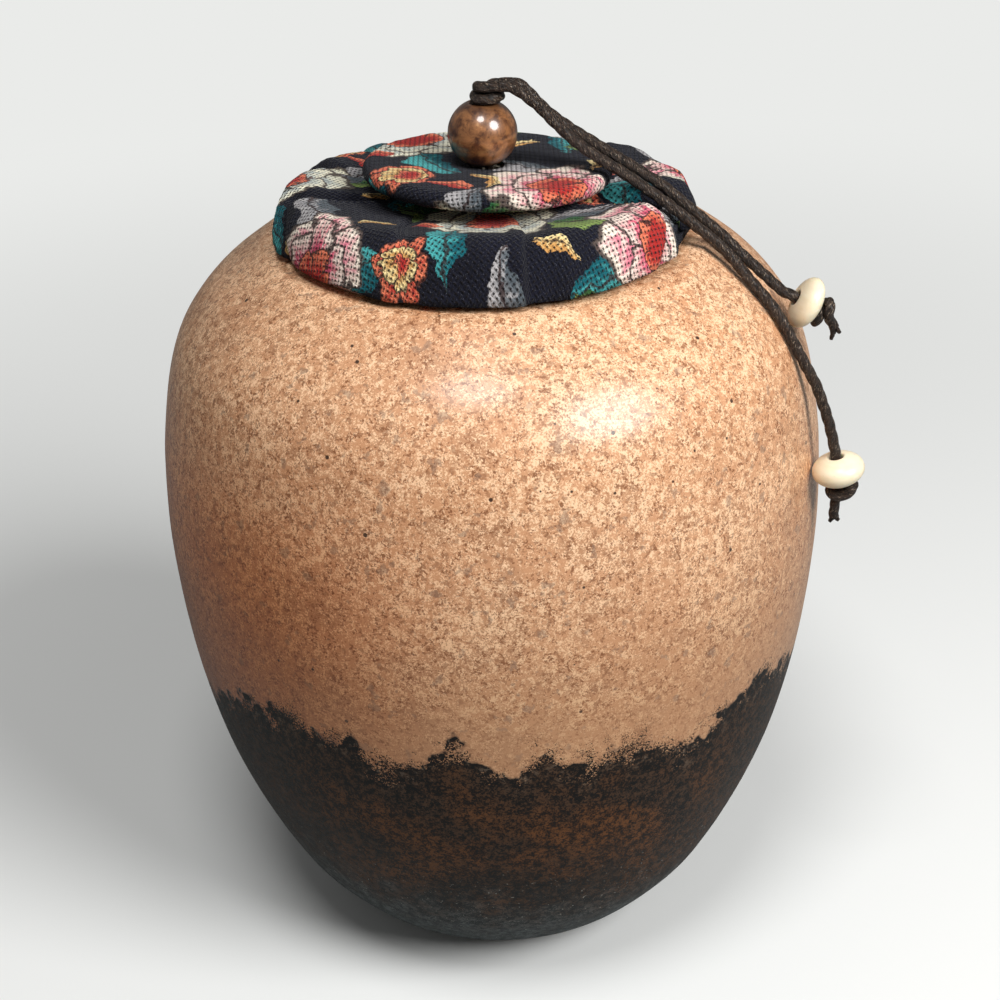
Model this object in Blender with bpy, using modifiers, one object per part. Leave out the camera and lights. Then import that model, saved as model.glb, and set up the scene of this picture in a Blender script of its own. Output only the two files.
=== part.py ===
"""Ceramic tea caddy with a cloth-covered stopper, a wooden knob bead and a beaded cord.

Metres, +Z up. The origin is the centre of the foot on the surface the jar stands on,
+X points to the side where the two cord tails hang, and -Y is the front.
"""

import math

import bmesh
import bpy
from mathutils import Matrix, Vector

# Clearances and sheet thicknesses that several pieces share
GAP = 0.0003
CLOTH = 0.0006

# Jar: the outline runs from the lip to the foot, as shares of its height and of its largest radius
BODY_HEIGHT = 0.1398
BODY_RADIUS = 0.0600
BODY_WALL = 0.0042
BODY_FLOOR = 0.0060
MOUTH_RADIUS = 0.0290
LIP_WIDTH = 0.0040
LIP_ROUND = 0.0012
NECK_DEPTH = 0.0060
FOOT_RADIUS = 0.0254
FOOT_RING_WIDTH = 0.0045
FOOT_RECESS = 0.0015
BODY_FACET = 0.0080
BODY_OUTLINE_SHARES = (
    (0.987, 0.645),
    (0.966, 0.712),
    (0.934, 0.807),
    (0.901, 0.875),
    (0.866, 0.923),
    (0.816, 0.959),
    (0.744, 0.987),
    (0.658, 1.000),
    (0.572, 0.996),
    (0.444, 0.964),
    (0.315, 0.898),
    (0.200, 0.798),
    (0.114, 0.693),
    (0.057, 0.584),
    (0.022, 0.487),
)

# Stopper: a drilled cork in a cloth cup, under a stiff board
PLUG_FIT = 0.0004
PLUG_LENGTH = 0.0150
PLUG_BEVEL = 0.0015
PLUG_POCKET_RADIUS = 0.0075
PLUG_POCKET_DEPTH = 0.0056
BOARD_OVERHANG = 0.0010
BOARD_THICKNESS = 0.0010
BOARD_BEVEL = 0.0003
HEM_CLEARANCE = 0.0009

# Cushion: a padded ring, its rim a quarter ellipse above and below its widest line
CUSHION_OVERHANG = 0.0032
CUSHION_RIM_WIDTH = 0.0068
CUSHION_RIM_RISE = 0.0074
CUSHION_RIM_DROP = 0.0019
CUSHION_TUCK = 0.0004
CUSHION_DIP = 0.0015
CUSHION_LEAN = math.radians(3.6)
CUSHION_HOLE = 0.0030
SHELF_RADIUS = 0.0188
PAD_LEAST = 0.0002
PAD_CLEARANCE = 0.0005
PAD_ROWS = 6

# Pleats of the cushion: angle from +X and half width in degrees, and depth share
PLEAT_DEPTH = 0.0016
PLEAT_SHARES = (
    (12.0, 9.0, 0.55),
    (47.0, 9.0, 0.70),
    (78.0, 8.0, 0.40),
    (104.0, 9.0, 0.45),
    (133.0, 8.0, 0.55),
    (160.0, 8.0, 0.75),
    (186.0, 8.0, 0.95),
    (209.0, 9.0, 0.60),
    (234.0, 8.0, 0.85),
    (262.0, 9.0, 0.60),
    (287.0, 9.0, 0.90),
    (315.0, 8.0, 0.50),
)

# Groove that the two cords press into the cushion, at an angle and with a half width in degrees
GROOVE_DEPTH = 0.0034
GROOVE_ANGLE = 341.0
GROOVE_HALF_WIDTH = 14.0

# How far the folds reach along the cushion's section, from the hole to the hem, as shares of their depth
FOLD_REACH_SHARES = (0, 0.5, 1, 1, 0.95, 0.85, 0.7, 0.5, 0.1, 0, 0)

# Cloth-covered button on the cushion
BUTTON_RADIUS = 0.0218
BUTTON_THICKNESS = 0.0030
BUTTON_DIP = 0.0006
BUTTON_BELLY = 0.0012
BUTTON_LEAN_BACK = math.radians(3.3)
BUTTON_LEAN_RIGHT = math.radians(2.4)
BUTTON_HOLE = 0.0030

# Wooden knob bead
KNOB_RADIUS = 0.0060
KNOB_LENGTH = 0.0108
KNOB_SEAT = 0.0003
BORE_CLEARANCE = 0.00025
BORE_BEVEL = 0.0003

# Cord: the same cord is pulled thinner where it is held in the lid and knotted
CORD = 0.0020
HELD_CORD = 0.0016
STRAND_GAP = 0.0004
WRAP_TURNS = 1.25
WRAP_GAP = 0.00055
WRAP_RISE = 0.0011
WRAP_CLEARANCE = 0.0006
WRAP_LEVEL_TURNS = 0.4
WRAP_CLIMB_TURNS = 0.75
WRAP_POINTS_PER_TURN = 24
OVER_BEND = 0.0016
TAIL_LEAD = 0.0012

# Washer and anchor knot in the pocket under the cork
WASHER_RADIUS = 0.0060
WASHER_THICKNESS = 0.0008
ANCHOR_RADIUS = 0.0037
ANCHOR_LENGTH = 0.0034

# Ivory-coloured beads and end knots on the two tails
TAIL_BEAD_RADIUS = 0.0046
LONG_BEAD_LENGTH = 0.0053
SHORT_BEAD_LENGTH = 0.0043
TAIL_BORE_CLEARANCE = 0.0002
END_KNOT_RADIUS = 0.0026
END_KNOT_LENGTH = 0.0028
END_STUB_LENGTH = 0.0046

# Facets around
BODY_STEPS = 60
LID_STEPS = 44
CUSHION_STEPS = 56
KNOB_STEPS = 32
BEAD_STEPS = 24
KNOT_STEPS = 16

# Points nearer the axis than this are joined when a piece is turned
TURN_MERGE = 0.00001

# Heights and radii that follow from the sizes above
LIP_RADIUS = MOUTH_RADIUS + LIP_WIDTH
HEM_LOW = BODY_HEIGHT + GAP
BOARD_LOW = HEM_LOW + CLOTH + GAP
BOARD_HIGH = BOARD_LOW + BOARD_THICKNESS
PAD_LOW = BOARD_HIGH + GAP
BOARD_RADIUS = LIP_RADIUS + BOARD_OVERHANG
PLUG_HIGH = BOARD_LOW - GAP
PLUG_LOW = PLUG_HIGH - PLUG_LENGTH
CUP_RADIUS = MOUTH_RADIUS - PLUG_FIT
PLUG_RADIUS = CUP_RADIUS - CLOTH - GAP
CUP_LOW = PLUG_LOW - GAP - CLOTH
HEM_RADIUS = CUP_RADIUS + HEM_CLEARANCE
CUSHION_RADIUS = BOARD_RADIUS + CUSHION_OVERHANG
CUSHION_WIDEST = HEM_LOW + CUSHION_TUCK
CUSHION_CROWN = CUSHION_WIDEST + CUSHION_RIM_RISE
CUSHION_CENTRE = CUSHION_CROWN - CUSHION_DIP
RING_RADIUS = CUSHION_RADIUS - CUSHION_RIM_WIDTH
BUTTON_HEIGHT = CUSHION_CENTRE + GAP + BUTTON_BELLY + BUTTON_THICKNESS / 2
KNOB_LOW = BUTTON_HEIGHT + BUTTON_THICKNESS / 2 - BUTTON_DIP + KNOB_SEAT
KNOB_HIGH = KNOB_LOW + KNOB_LENGTH
STRAND_OFFSET = (HELD_CORD + STRAND_GAP) / 2
BORE_RADIUS = STRAND_OFFSET + HELD_CORD / 2 + BORE_CLEARANCE
WRAP_RADIUS = HELD_CORD + WRAP_CLEARANCE
WRAP_CLIMB = HELD_CORD + WRAP_GAP
WRAP_LOW = KNOB_HIGH + GAP + HELD_CORD / 2
WRAP_START = WRAP_LOW - WRAP_RISE - HELD_CORD
WASHER_HIGH = PLUG_LOW + PLUG_POCKET_DEPTH - GAP
ANCHOR_HIGH = WASHER_HIGH - WASHER_THICKNESS - GAP
TAIL_BORE = CORD / 2 + TAIL_BORE_CLEARANCE

# Routes of the two tails: chosen points from the knot on the knob to the knot at the end
LONG_ROUTE = (
    (0.0053, -0.0023, 0.1643),
    (0.0066, -0.0025, 0.1636),
    (0.0081, -0.0029, 0.1625),
    (0.0098, -0.0033, 0.1611),
    (0.0114, -0.0039, 0.1595),
    (0.0131, -0.0045, 0.1579),
    (0.0155, -0.0054, 0.1558),
    (0.0180, -0.0063, 0.1541),
    (0.0205, -0.0072, 0.1526),
    (0.0230, -0.0080, 0.1512),
    (0.0254, -0.0089, 0.1497),
    (0.0279, -0.0098, 0.1481),
    (0.0304, -0.0105, 0.1464),
    (0.0329, -0.0111, 0.1445),
    (0.0354, -0.0116, 0.1425),
    (0.0380, -0.0120, 0.1404),
    (0.0400, -0.0124, 0.1386),
    (0.0417, -0.0130, 0.1369),
    (0.0433, -0.0139, 0.1351),
    (0.0449, -0.0150, 0.1333),
    (0.0466, -0.0161, 0.1315),
    (0.0482, -0.0172, 0.1297),
    (0.0496, -0.0182, 0.1277),
    (0.0509, -0.0191, 0.1255),
    (0.0521, -0.0198, 0.1232),
    (0.0533, -0.0204, 0.1210),
    (0.0545, -0.0209, 0.1188),
    (0.0558, -0.0213, 0.1163),
    (0.0568, -0.0216, 0.1136),
    (0.0578, -0.0220, 0.1107),
    (0.0586, -0.0223, 0.1079),
)
LONG_BEAD = (0.0601, -0.0229, 0.1010)
LONG_BEAD_AXIS = (0.21, 0, -0.98)
SHORT_ROUTE = (
    (0.0070, -0.0001, 0.1639),
    (0.0084, -0.0004, 0.1625),
    (0.0099, -0.0008, 0.1609),
    (0.0115, -0.0014, 0.1595),
    (0.0132, -0.0020, 0.1583),
    (0.0157, -0.0028, 0.1567),
    (0.0182, -0.0036, 0.1553),
    (0.0206, -0.0044, 0.1539),
    (0.0231, -0.0053, 0.1525),
    (0.0256, -0.0061, 0.1511),
    (0.0281, -0.0069, 0.1496),
    (0.0306, -0.0077, 0.1480),
    (0.0331, -0.0084, 0.1460),
    (0.0356, -0.0091, 0.1439),
    (0.0382, -0.0097, 0.1418),
    (0.0407, -0.0102, 0.1396),
    (0.0432, -0.0112, 0.1372),
    (0.0457, -0.0124, 0.1351),
    (0.0482, -0.0137, 0.1330),
    (0.0500, -0.0146, 0.1315),
)
SHORT_BEAD = (0.0543, -0.0155, 0.1294)
SHORT_BEAD_AXIS = (0.87, 0.03, -0.49)
LONG_BEAD_LIE = (LONG_BEAD, LONG_BEAD_AXIS, LONG_BEAD_LENGTH)
SHORT_BEAD_LIE = (SHORT_BEAD, SHORT_BEAD_AXIS, SHORT_BEAD_LENGTH)

MATERIALS = {
    "glaze": ((0.42, 0.27, 0.17), 0.35),
    "cork": ((0.55, 0.38, 0.22), 0.85),
    "board": ((0.60, 0.55, 0.45), 0.80),
    "padding": ((0.85, 0.83, 0.78), 0.95),
    "print_cloth": ((0.03, 0.03, 0.06), 0.90),
    "plain_cloth": ((0.05, 0.05, 0.08), 0.90),
    "wood": ((0.28, 0.13, 0.06), 0.25),
    "cord": ((0.05, 0.035, 0.03), 0.55),
    "ivory": ((0.86, 0.79, 0.66), 0.35),
    "steel": ((0.60, 0.60, 0.62), 0.35),
}


def clear_scene():
    for obj in list(bpy.data.objects):
        bpy.data.objects.remove(obj, do_unlink=True)


def new_collection(name):
    collection = bpy.data.collections.new(name)
    bpy.context.scene.collection.children.link(collection)
    return collection


def material(name):
    if name in bpy.data.materials:
        return bpy.data.materials[name]
    color, roughness = MATERIALS[name]
    made = bpy.data.materials.new(name)
    made.use_nodes = True
    shader = made.node_tree.nodes["Principled BSDF"]
    shader.inputs["Base Color"].default_value = (*color, 1.0)
    shader.inputs["Roughness"].default_value = roughness
    shader.inputs["Metallic"].default_value = 1.0 if name == "steel" else 0.0
    return made


def add_object(name, data, slot):
    obj = bpy.data.objects.new(name, data)
    obj.data.materials.append(material(slot))
    PARTS.objects.link(obj)
    return obj


def smooth_route(points, spacing):
    """Points about one spacing apart on the smooth curve through the given points."""
    route = [Vector(point) for point in points]
    ends = [2 * route[0] - route[1]] + route + [2 * route[-1] - route[-2]]
    found = [route[0]]
    for before, start, end, after in zip(ends, ends[1:], ends[2:], ends[3:]):
        steps = max(1, round((end - start).length / spacing))
        for step in range(1, steps + 1):
            share = step / steps
            line = 2 * start + (end - before) * share
            bend = (2 * before - 5 * start + 4 * end - after) * share**2
            twist = (3 * start - before - 3 * end + after) * share**3
            found.append((line + bend + twist) / 2)
    return found


def tube(name, points, diameter, slot, resolution=2):
    """A cord: a poly curve with a round bevel and filled caps."""
    curve = bpy.data.curves.new(name, "CURVE")
    curve.dimensions = "3D"
    curve.bevel_depth = diameter / 2
    curve.bevel_resolution = resolution
    curve.use_fill_caps = True
    spline = curve.splines.new("POLY")
    spline.points.add(len(points) - 1)
    for place, point in zip(spline.points, points):
        place.co = (*point, 1.0)
    spline.use_smooth = True
    return add_object(name, curve, slot)


def turned(name, outline, steps, slot, closed=False):
    """A piece turned about Z from (radius, height) points that run down its outer side."""
    mesh = bpy.data.meshes.new(name)
    edges = [(index, index + 1) for index in range(len(outline) - 1)]
    if closed:
        edges.append((len(outline) - 1, 0))
    mesh.from_pydata([(radius, 0, height) for radius, height in outline], edges, [])
    obj = add_object(name, mesh, slot)
    screw = obj.modifiers.new("turn", "SCREW")
    screw.axis = "Z"
    screw.angle = math.tau
    screw.steps = steps
    screw.render_steps = steps
    screw.use_merge_vertices = True
    screw.merge_threshold = TURN_MERGE
    screw.use_smooth_shade = True
    return obj


def lofted(name, sections, slot):
    """A closed ring of cloth or wadding through the same section's points at each angle."""
    mesh = bpy.data.meshes.new(name)
    build = bmesh.new()
    rows = [[build.verts.new(place) for place in section] for section in sections]
    for row, following in zip(rows, rows[1:] + rows[:1]):
        ring = list(zip(row, following))
        for (here, there), (here_next, there_next) in zip(ring, ring[1:] + ring[:1]):
            build.faces.new((here, here_next, there_next, there))
    build.to_mesh(mesh)
    build.free()
    mesh.shade_smooth()
    return add_object(name, mesh, slot)


def arc(centre, radii, start, end, steps):
    """Points on an ellipse's arc from one angle to another, in degrees from +radius towards +height."""
    found = []
    for step in range(steps + 1):
        angle = math.radians(start + (end - start) * step / steps)
        found.append((centre[0] + radii[0] * math.cos(angle), centre[1] + radii[1] * math.sin(angle)))
    return found


def axis_frame(place, axis):
    """The matrix that stands a turned piece's +Z along an axis at a place."""
    turn = Vector((0, 0, 1)).rotation_difference(Vector(axis)).to_matrix().to_4x4()
    return Matrix.Translation(Vector(place)) @ turn


# Jar


def body_outer():
    """The jar's outer line from under the lip to the foot."""
    points = [(LIP_RADIUS, 0, BODY_HEIGHT - LIP_ROUND)]
    points += [(BODY_RADIUS * radius, 0, BODY_HEIGHT * height) for height, radius in BODY_OUTLINE_SHARES]
    points.append((FOOT_RADIUS, 0, 0))
    return [(place.x, place.z) for place in smooth_route(points, BODY_FACET)]


def body_inner(outer):
    """The wall's inner line from the floor up to the neck, one wall inside the outer line."""
    found = []
    for before, place, after in zip(outer, outer[1:], outer[2:]):
        along = Vector((after[0] - before[0], after[1] - before[1])).normalized()
        radius = place[0] + along.y * BODY_WALL
        height = place[1] - along.x * BODY_WALL
        inside = BODY_FLOOR < height < BODY_HEIGHT - NECK_DEPTH and radius > MOUTH_RADIUS
        if inside and (not found or found[-1][1] - height > BODY_WALL):
            found.append((radius, height))
    return found[::-1]


def make_body():
    outer = body_outer()
    inner = body_inner(outer)
    lip_outer = LIP_RADIUS - LIP_ROUND
    lip_inner = MOUTH_RADIUS + LIP_ROUND
    outline = [(0, BODY_FLOOR), (inner[0][0] - BODY_WALL, BODY_FLOOR)]
    outline += inner
    outline.append((MOUTH_RADIUS, BODY_HEIGHT - NECK_DEPTH))
    outline += arc((lip_inner, BODY_HEIGHT - LIP_ROUND), (LIP_ROUND, LIP_ROUND), 180, 90, 3)
    outline += arc((lip_outer, BODY_HEIGHT - LIP_ROUND), (LIP_ROUND, LIP_ROUND), 90, 30, 2)
    outline += outer
    foot_inner = FOOT_RADIUS - FOOT_RING_WIDTH
    outline += [(foot_inner, 0), (foot_inner - FOOT_RECESS, FOOT_RECESS), (0, FOOT_RECESS)]
    turned("jar_body", outline, BODY_STEPS, "glaze")


# Stopper


def make_plug():
    """The cork: bored for both strands, with a pocket below for the washer and the knot."""
    pocket_high = PLUG_LOW + PLUG_POCKET_DEPTH
    outline = [
        (BORE_RADIUS, PLUG_HIGH),
        (PLUG_RADIUS, PLUG_HIGH),
        (PLUG_RADIUS, PLUG_LOW + PLUG_BEVEL),
        (PLUG_RADIUS - PLUG_BEVEL, PLUG_LOW),
        (PLUG_POCKET_RADIUS, PLUG_LOW),
        (PLUG_POCKET_RADIUS, pocket_high),
        (BORE_RADIUS, pocket_high),
    ]
    turned("stopper_cork", outline, LID_STEPS, "cork", closed=True)


def make_plug_cloth():
    """The cloth cup drawn over the cork, which seals the mouth."""
    inner_radius = CUP_RADIUS - CLOTH
    inner_low = CUP_LOW + CLOTH
    outline = [
        (0, inner_low),
        (inner_radius - PLUG_BEVEL, inner_low),
        (inner_radius, inner_low + PLUG_BEVEL),
        (inner_radius, PLUG_HIGH),
        (CUP_RADIUS, PLUG_HIGH),
        (CUP_RADIUS, CUP_LOW + PLUG_BEVEL),
        (CUP_RADIUS - PLUG_BEVEL, CUP_LOW),
        (0, CUP_LOW),
    ]
    turned("stopper_cloth_cup", outline, LID_STEPS, "plain_cloth")


def make_board():
    outline = [
        (BORE_RADIUS, BOARD_HIGH),
        (BOARD_RADIUS - BOARD_BEVEL, BOARD_HIGH),
        (BOARD_RADIUS, BOARD_HIGH - BOARD_BEVEL),
        (BOARD_RADIUS, BOARD_LOW + BOARD_BEVEL),
        (BOARD_RADIUS - BOARD_BEVEL, BOARD_LOW),
        (BORE_RADIUS, BOARD_LOW),
    ]
    turned("lid_board", outline, LID_STEPS, "board", closed=True)


# Cushion


def fold_depth(angle):
    """How deep the folds are at an angle in degrees, from nothing on a crown to the whole depth in a fold."""
    folds = [(centre, half_width, PLEAT_DEPTH * share) for centre, half_width, share in PLEAT_SHARES]
    folds.append((GROOVE_ANGLE, GROOVE_HALF_WIDTH, GROOVE_DEPTH))
    depth = 0
    for centre, half_width, deepest in folds:
        away = abs((angle - centre + 180) % 360 - 180) / half_width
        if away < 1:
            depth = max(depth, deepest * (1 + math.cos(math.pi * away)) / 2)
    return depth


def cushion_line():
    """The cover's outer line: from the hole under the button, over the rim and under it to the hem."""
    centre = (RING_RADIUS, CUSHION_WIDEST)
    upper = (CUSHION_RIM_WIDTH, CUSHION_RIM_RISE)
    lower = (CUSHION_RIM_WIDTH, CUSHION_RIM_DROP)
    line = [(CUSHION_HOLE, CUSHION_CENTRE), (SHELF_RADIUS, CUSHION_CENTRE)]
    line.append(((SHELF_RADIUS + RING_RADIUS) / 2, CUSHION_CENTRE + CUSHION_DIP / 2))
    line += arc(centre, upper, 90, 0, 4)
    line += arc(centre, lower, 0, -45, 1)[1:]
    return line + [(LIP_RADIUS, HEM_LOW), (HEM_RADIUS, HEM_LOW)]


def cushion_section(step, inset):
    """The cushion's line at one angle, inset from the cover's outer face, with the folds and the lean."""
    line = cushion_line()
    ends = [line[0], *line, line[-1]]
    fold = fold_depth(360 * step / CUSHION_STEPS)
    turn = Matrix.Rotation(math.tau * step / CUSHION_STEPS, 3, "Z")
    section = []
    for before, place, after, reach in zip(ends, line, ends[2:], FOLD_REACH_SHARES):
        outward = Vector((before[1] - after[1], 0, after[0] - before[0])).normalized()
        found = turn @ (Vector((place[0], 0, place[1])) - outward * (inset + fold * reach))
        rise = max(place[1] - HEM_LOW, 0) / (CUSHION_CROWN - HEM_LOW)
        found.z -= found.y * math.tan(CUSHION_LEAN) * rise
        section.append(found)
    return section


def make_cushion_cover():
    """The printed cloth: one sheet from under the button, over the rim, to its hem between board and lip."""
    sections = []
    for step in range(CUSHION_STEPS):
        inner = cushion_section(step, CLOTH)
        sections.append(cushion_section(step, 0) + inner[::-1])
    lofted("cushion_cover", sections, "print_cloth")


def make_cushion_padding():
    """The wadding ring between the board and the cover."""
    sections = []
    for step in range(CUSHION_STEPS):
        upper = cushion_section(step, CLOTH + PAD_CLEARANCE)[:PAD_ROWS]
        for place in upper:
            place.z = max(place.z, PAD_LOW + PAD_LEAST)
        below = [Vector((place.x, place.y, PAD_LOW)) for place in (upper[-1], upper[0])]
        sections.append(upper + below)
    lofted("cushion_padding", sections, "padding")


# Button


def button_line(inset, hole):
    """Half the button's section, from the hole at the top round the rim to the hole below."""
    half = BUTTON_THICKNESS / 2 - inset
    rim = BUTTON_RADIUS - BUTTON_THICKNESS / 2
    middle = (hole + rim) / 2
    top = [(hole, half - BUTTON_DIP), (middle, half - BUTTON_DIP / 4)]
    below = [(middle, -half - BUTTON_BELLY / 2), (hole, -half - BUTTON_BELLY)]
    return top + arc((rim, 0), (half, half), 90, -90, 4) + below


def make_button():
    tilt = Matrix.Rotation(-BUTTON_LEAN_BACK, 4, "X") @ Matrix.Rotation(BUTTON_LEAN_RIGHT, 4, "Y")
    place = Matrix.Translation((0, 0, BUTTON_HEIGHT)) @ tilt
    line = button_line(0, BUTTON_HOLE) + button_line(CLOTH, BUTTON_HOLE)[::-1]
    cover = turned("button_cover", line, LID_STEPS, "print_cloth", closed=True)
    core = turned("button_core", button_line(CLOTH + GAP, BUTTON_HOLE), LID_STEPS, "board", closed=True)
    for obj in (cover, core):
        obj.matrix_world = place


# Beads, washer and knots


def bead_line(radius, length, bore, steps):
    """A bead's section: a round belly between two small bore bevels."""
    flat = bore + BORE_BEVEL
    half = length / 2
    rise = half / math.sqrt(1 - (flat / radius) ** 2)
    limit = math.degrees(math.acos(flat / radius))
    belly = arc((0, 0), (radius, rise), limit, -limit, steps)
    return [(bore, half - BORE_BEVEL)] + belly + [(bore, BORE_BEVEL - half)]


def make_knob():
    line = bead_line(KNOB_RADIUS, KNOB_LENGTH, BORE_RADIUS, 12)
    knob = turned("knob_bead", line, KNOB_STEPS, "wood", closed=True)
    knob.location.z = KNOB_LOW + KNOB_LENGTH / 2


def make_tail_bead(name, place, axis, length):
    line = bead_line(TAIL_BEAD_RADIUS, length, TAIL_BORE, 10)
    bead = turned(name, line, BEAD_STEPS, "ivory", closed=True)
    bead.matrix_world = axis_frame(place, axis)


def make_washer():
    outline = [
        (BORE_RADIUS, WASHER_HIGH),
        (WASHER_RADIUS, WASHER_HIGH),
        (WASHER_RADIUS, WASHER_HIGH - WASHER_THICKNESS),
        (BORE_RADIUS, WASHER_HIGH - WASHER_THICKNESS),
    ]
    turned("cord_washer", outline, LID_STEPS // 2, "steel", closed=True)


def make_anchor():
    """The doubled cord's knot under the washer: a lump that the strands rise from."""
    half = ANCHOR_LENGTH / 2
    flat = STRAND_OFFSET + HELD_CORD / 2
    reach = math.degrees(math.acos(flat / ANCHOR_RADIUS))
    rise = half / math.sin(math.radians(reach))
    line = arc((0, 0), (ANCHOR_RADIUS, rise), reach, -reach, 6)
    outline = [(0, half)] + line + [(0, -half)]
    knot = turned("cord_anchor_knot", outline, KNOT_STEPS, "cord")
    knot.location.z = ANCHOR_HIGH - half


def make_end_knot(name, place, axis, length):
    """A tight end knot against the bead, with the cut end standing out of it."""
    direction = Vector(axis).normalized()
    start = Vector(place) + direction * (length / 2 + GAP)
    stub = CORD / 2
    half = END_KNOT_LENGTH / 2
    reach = math.degrees(math.acos(stub / END_KNOT_RADIUS))
    rise = half / math.sin(math.radians(reach))
    lump = arc((0, half), (END_KNOT_RADIUS, rise), -reach, reach, 6)
    end = END_KNOT_LENGTH + END_STUB_LENGTH
    outline = [(0, 0)] + lump + [(stub, end), (0, end)]
    knot = turned(name, outline[::-1], KNOT_STEPS, "cord")
    knot.matrix_world = axis_frame(start, direction)


# Cord


def wrap_height(turns):
    """The winding's height: level at first, then a climb of one cord on to its own first turn."""
    share = min(max((turns - WRAP_LEVEL_TURNS) / WRAP_CLIMB_TURNS, 0), 1)
    return WRAP_LOW + WRAP_CLIMB * share**2 * (3 - 2 * share)


def over_height():
    """How high the other strand bends over the winding's right-hand side, half a turn round."""
    return wrap_height(0.5) + HELD_CORD + GAP


def make_risers():
    """The two strands through the lid: one rises to the wrap, the other through it and over."""
    low = ANCHOR_HIGH + GAP
    straight = [(-STRAND_OFFSET, 0, low), (-STRAND_OFFSET, 0, (low + WRAP_START) / 2)]
    straight.append((-STRAND_OFFSET, 0, WRAP_START - GAP))
    tube("riser_strand_long", straight, HELD_CORD, "cord")
    over_high = over_height()
    bend_low = over_high - OVER_BEND
    rising = [(STRAND_OFFSET, 0, low), (STRAND_OFFSET, 0, (low + bend_low) / 2)]
    centre = (-STRAND_OFFSET - OVER_BEND, bend_low)
    for radius, height in arc(centre, (OVER_BEND, OVER_BEND), 0, 90, 6):
        rising.append((-radius, 0, height))
    rising.append((STRAND_OFFSET + OVER_BEND + HELD_CORD, 0, over_high))
    tube("riser_strand_short", rising, HELD_CORD, "cord")


def wrap_point(turns):
    """A point of the winding on the knob, turning from the left through the front."""
    angle = math.pi + math.tau * turns
    across = STRAND_OFFSET + WRAP_RADIUS * math.cos(angle)
    return Vector((across, WRAP_RADIUS * math.sin(angle), wrap_height(turns)))


def make_wrap():
    """The winding: straight out of the bore, bent round into its turns, and straight off to the tail."""
    start = Vector((-STRAND_OFFSET, 0, WRAP_START))
    lift = Vector((0, 0, HELD_CORD))
    handle = start + lift + Vector((0, 0, WRAP_RISE))
    joined = round(WRAP_POINTS_PER_TURN / 6)
    points = [start, start + lift]
    landing = wrap_point(joined / WRAP_POINTS_PER_TURN)
    ahead = (wrap_point((joined + 1) / WRAP_POINTS_PER_TURN) - landing).normalized()
    arrival = landing - ahead * WRAP_RISE
    for step in range(1, joined + 1):
        share = step / (joined + 1)
        rest = 1 - share
        place = (start + lift) * rest**3 + handle * (3 * rest * rest * share)
        points.append(place + arrival * (3 * rest * share * share) + landing * share**3)
    for step in range(joined, round(WRAP_TURNS * WRAP_POINTS_PER_TURN) + 1):
        points.append(wrap_point(step / WRAP_POINTS_PER_TURN))
    points.append(points[-1] + Vector((HELD_CORD, 0, 0)))
    tube("knob_wrap", points, HELD_CORD, "cord", resolution=1)
    report_least_gap(points)
    return points[-1]


def report_least_gap(points):
    """Prints the winding's least gap to itself, between points more than half a turn apart."""
    apart = WRAP_POINTS_PER_TURN // 2
    gaps = []
    for index, place in enumerate(points):
        gaps += [(place - other).length - HELD_CORD for other in points[index + apart :]]
    print(f"knob wrap: least gap to itself {min(gaps) * 1000:.2f} mm")


def tail_points(start, route, bead, axis, length):
    """A tail's points: square off the knot, along its route, and straight through its bead to the end knot."""
    direction = Vector(axis).normalized()
    half = length / 2
    first = start + Vector((GAP, 0, 0))
    lead = first + Vector((TAIL_LEAD, 0, 0))
    entry = Vector(bead) - direction * (half + CORD / 2)
    leaving = Vector(bead) + direction * half
    return smooth_route([first, lead, *route, entry, Vector(bead), leaving], CORD * 2)


def make_tails(wrap_end):
    over_end = Vector((STRAND_OFFSET + OVER_BEND + HELD_CORD, 0, over_height()))
    tube("long_tail", tail_points(wrap_end, LONG_ROUTE, *LONG_BEAD_LIE), CORD, "cord")
    tube("short_tail", tail_points(over_end, SHORT_ROUTE, *SHORT_BEAD_LIE), CORD, "cord")


clear_scene()
PARTS = new_collection("ceramic_tea_caddy")
make_body()
make_plug()
make_plug_cloth()
make_board()
make_cushion_padding()
make_cushion_cover()
make_button()
make_knob()
make_washer()
make_anchor()
make_risers()
make_tails(make_wrap())
make_tail_bead("long_tail_bead", *LONG_BEAD_LIE)
make_tail_bead("short_tail_bead", *SHORT_BEAD_LIE)
make_end_knot("long_end_knot", *LONG_BEAD_LIE)
make_end_knot("short_end_knot", *SHORT_BEAD_LIE)
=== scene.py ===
"""Looks of the ceramic tea caddy: glazed jar, printed cloth lid, wooden knob bead and beaded cord.

Metres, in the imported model's frame: +Z up, the foot's centre at the origin and -Y at the front.
"""

import math

import bpy
import numpy as np
from mathutils import Matrix, Vector, noise


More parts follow.
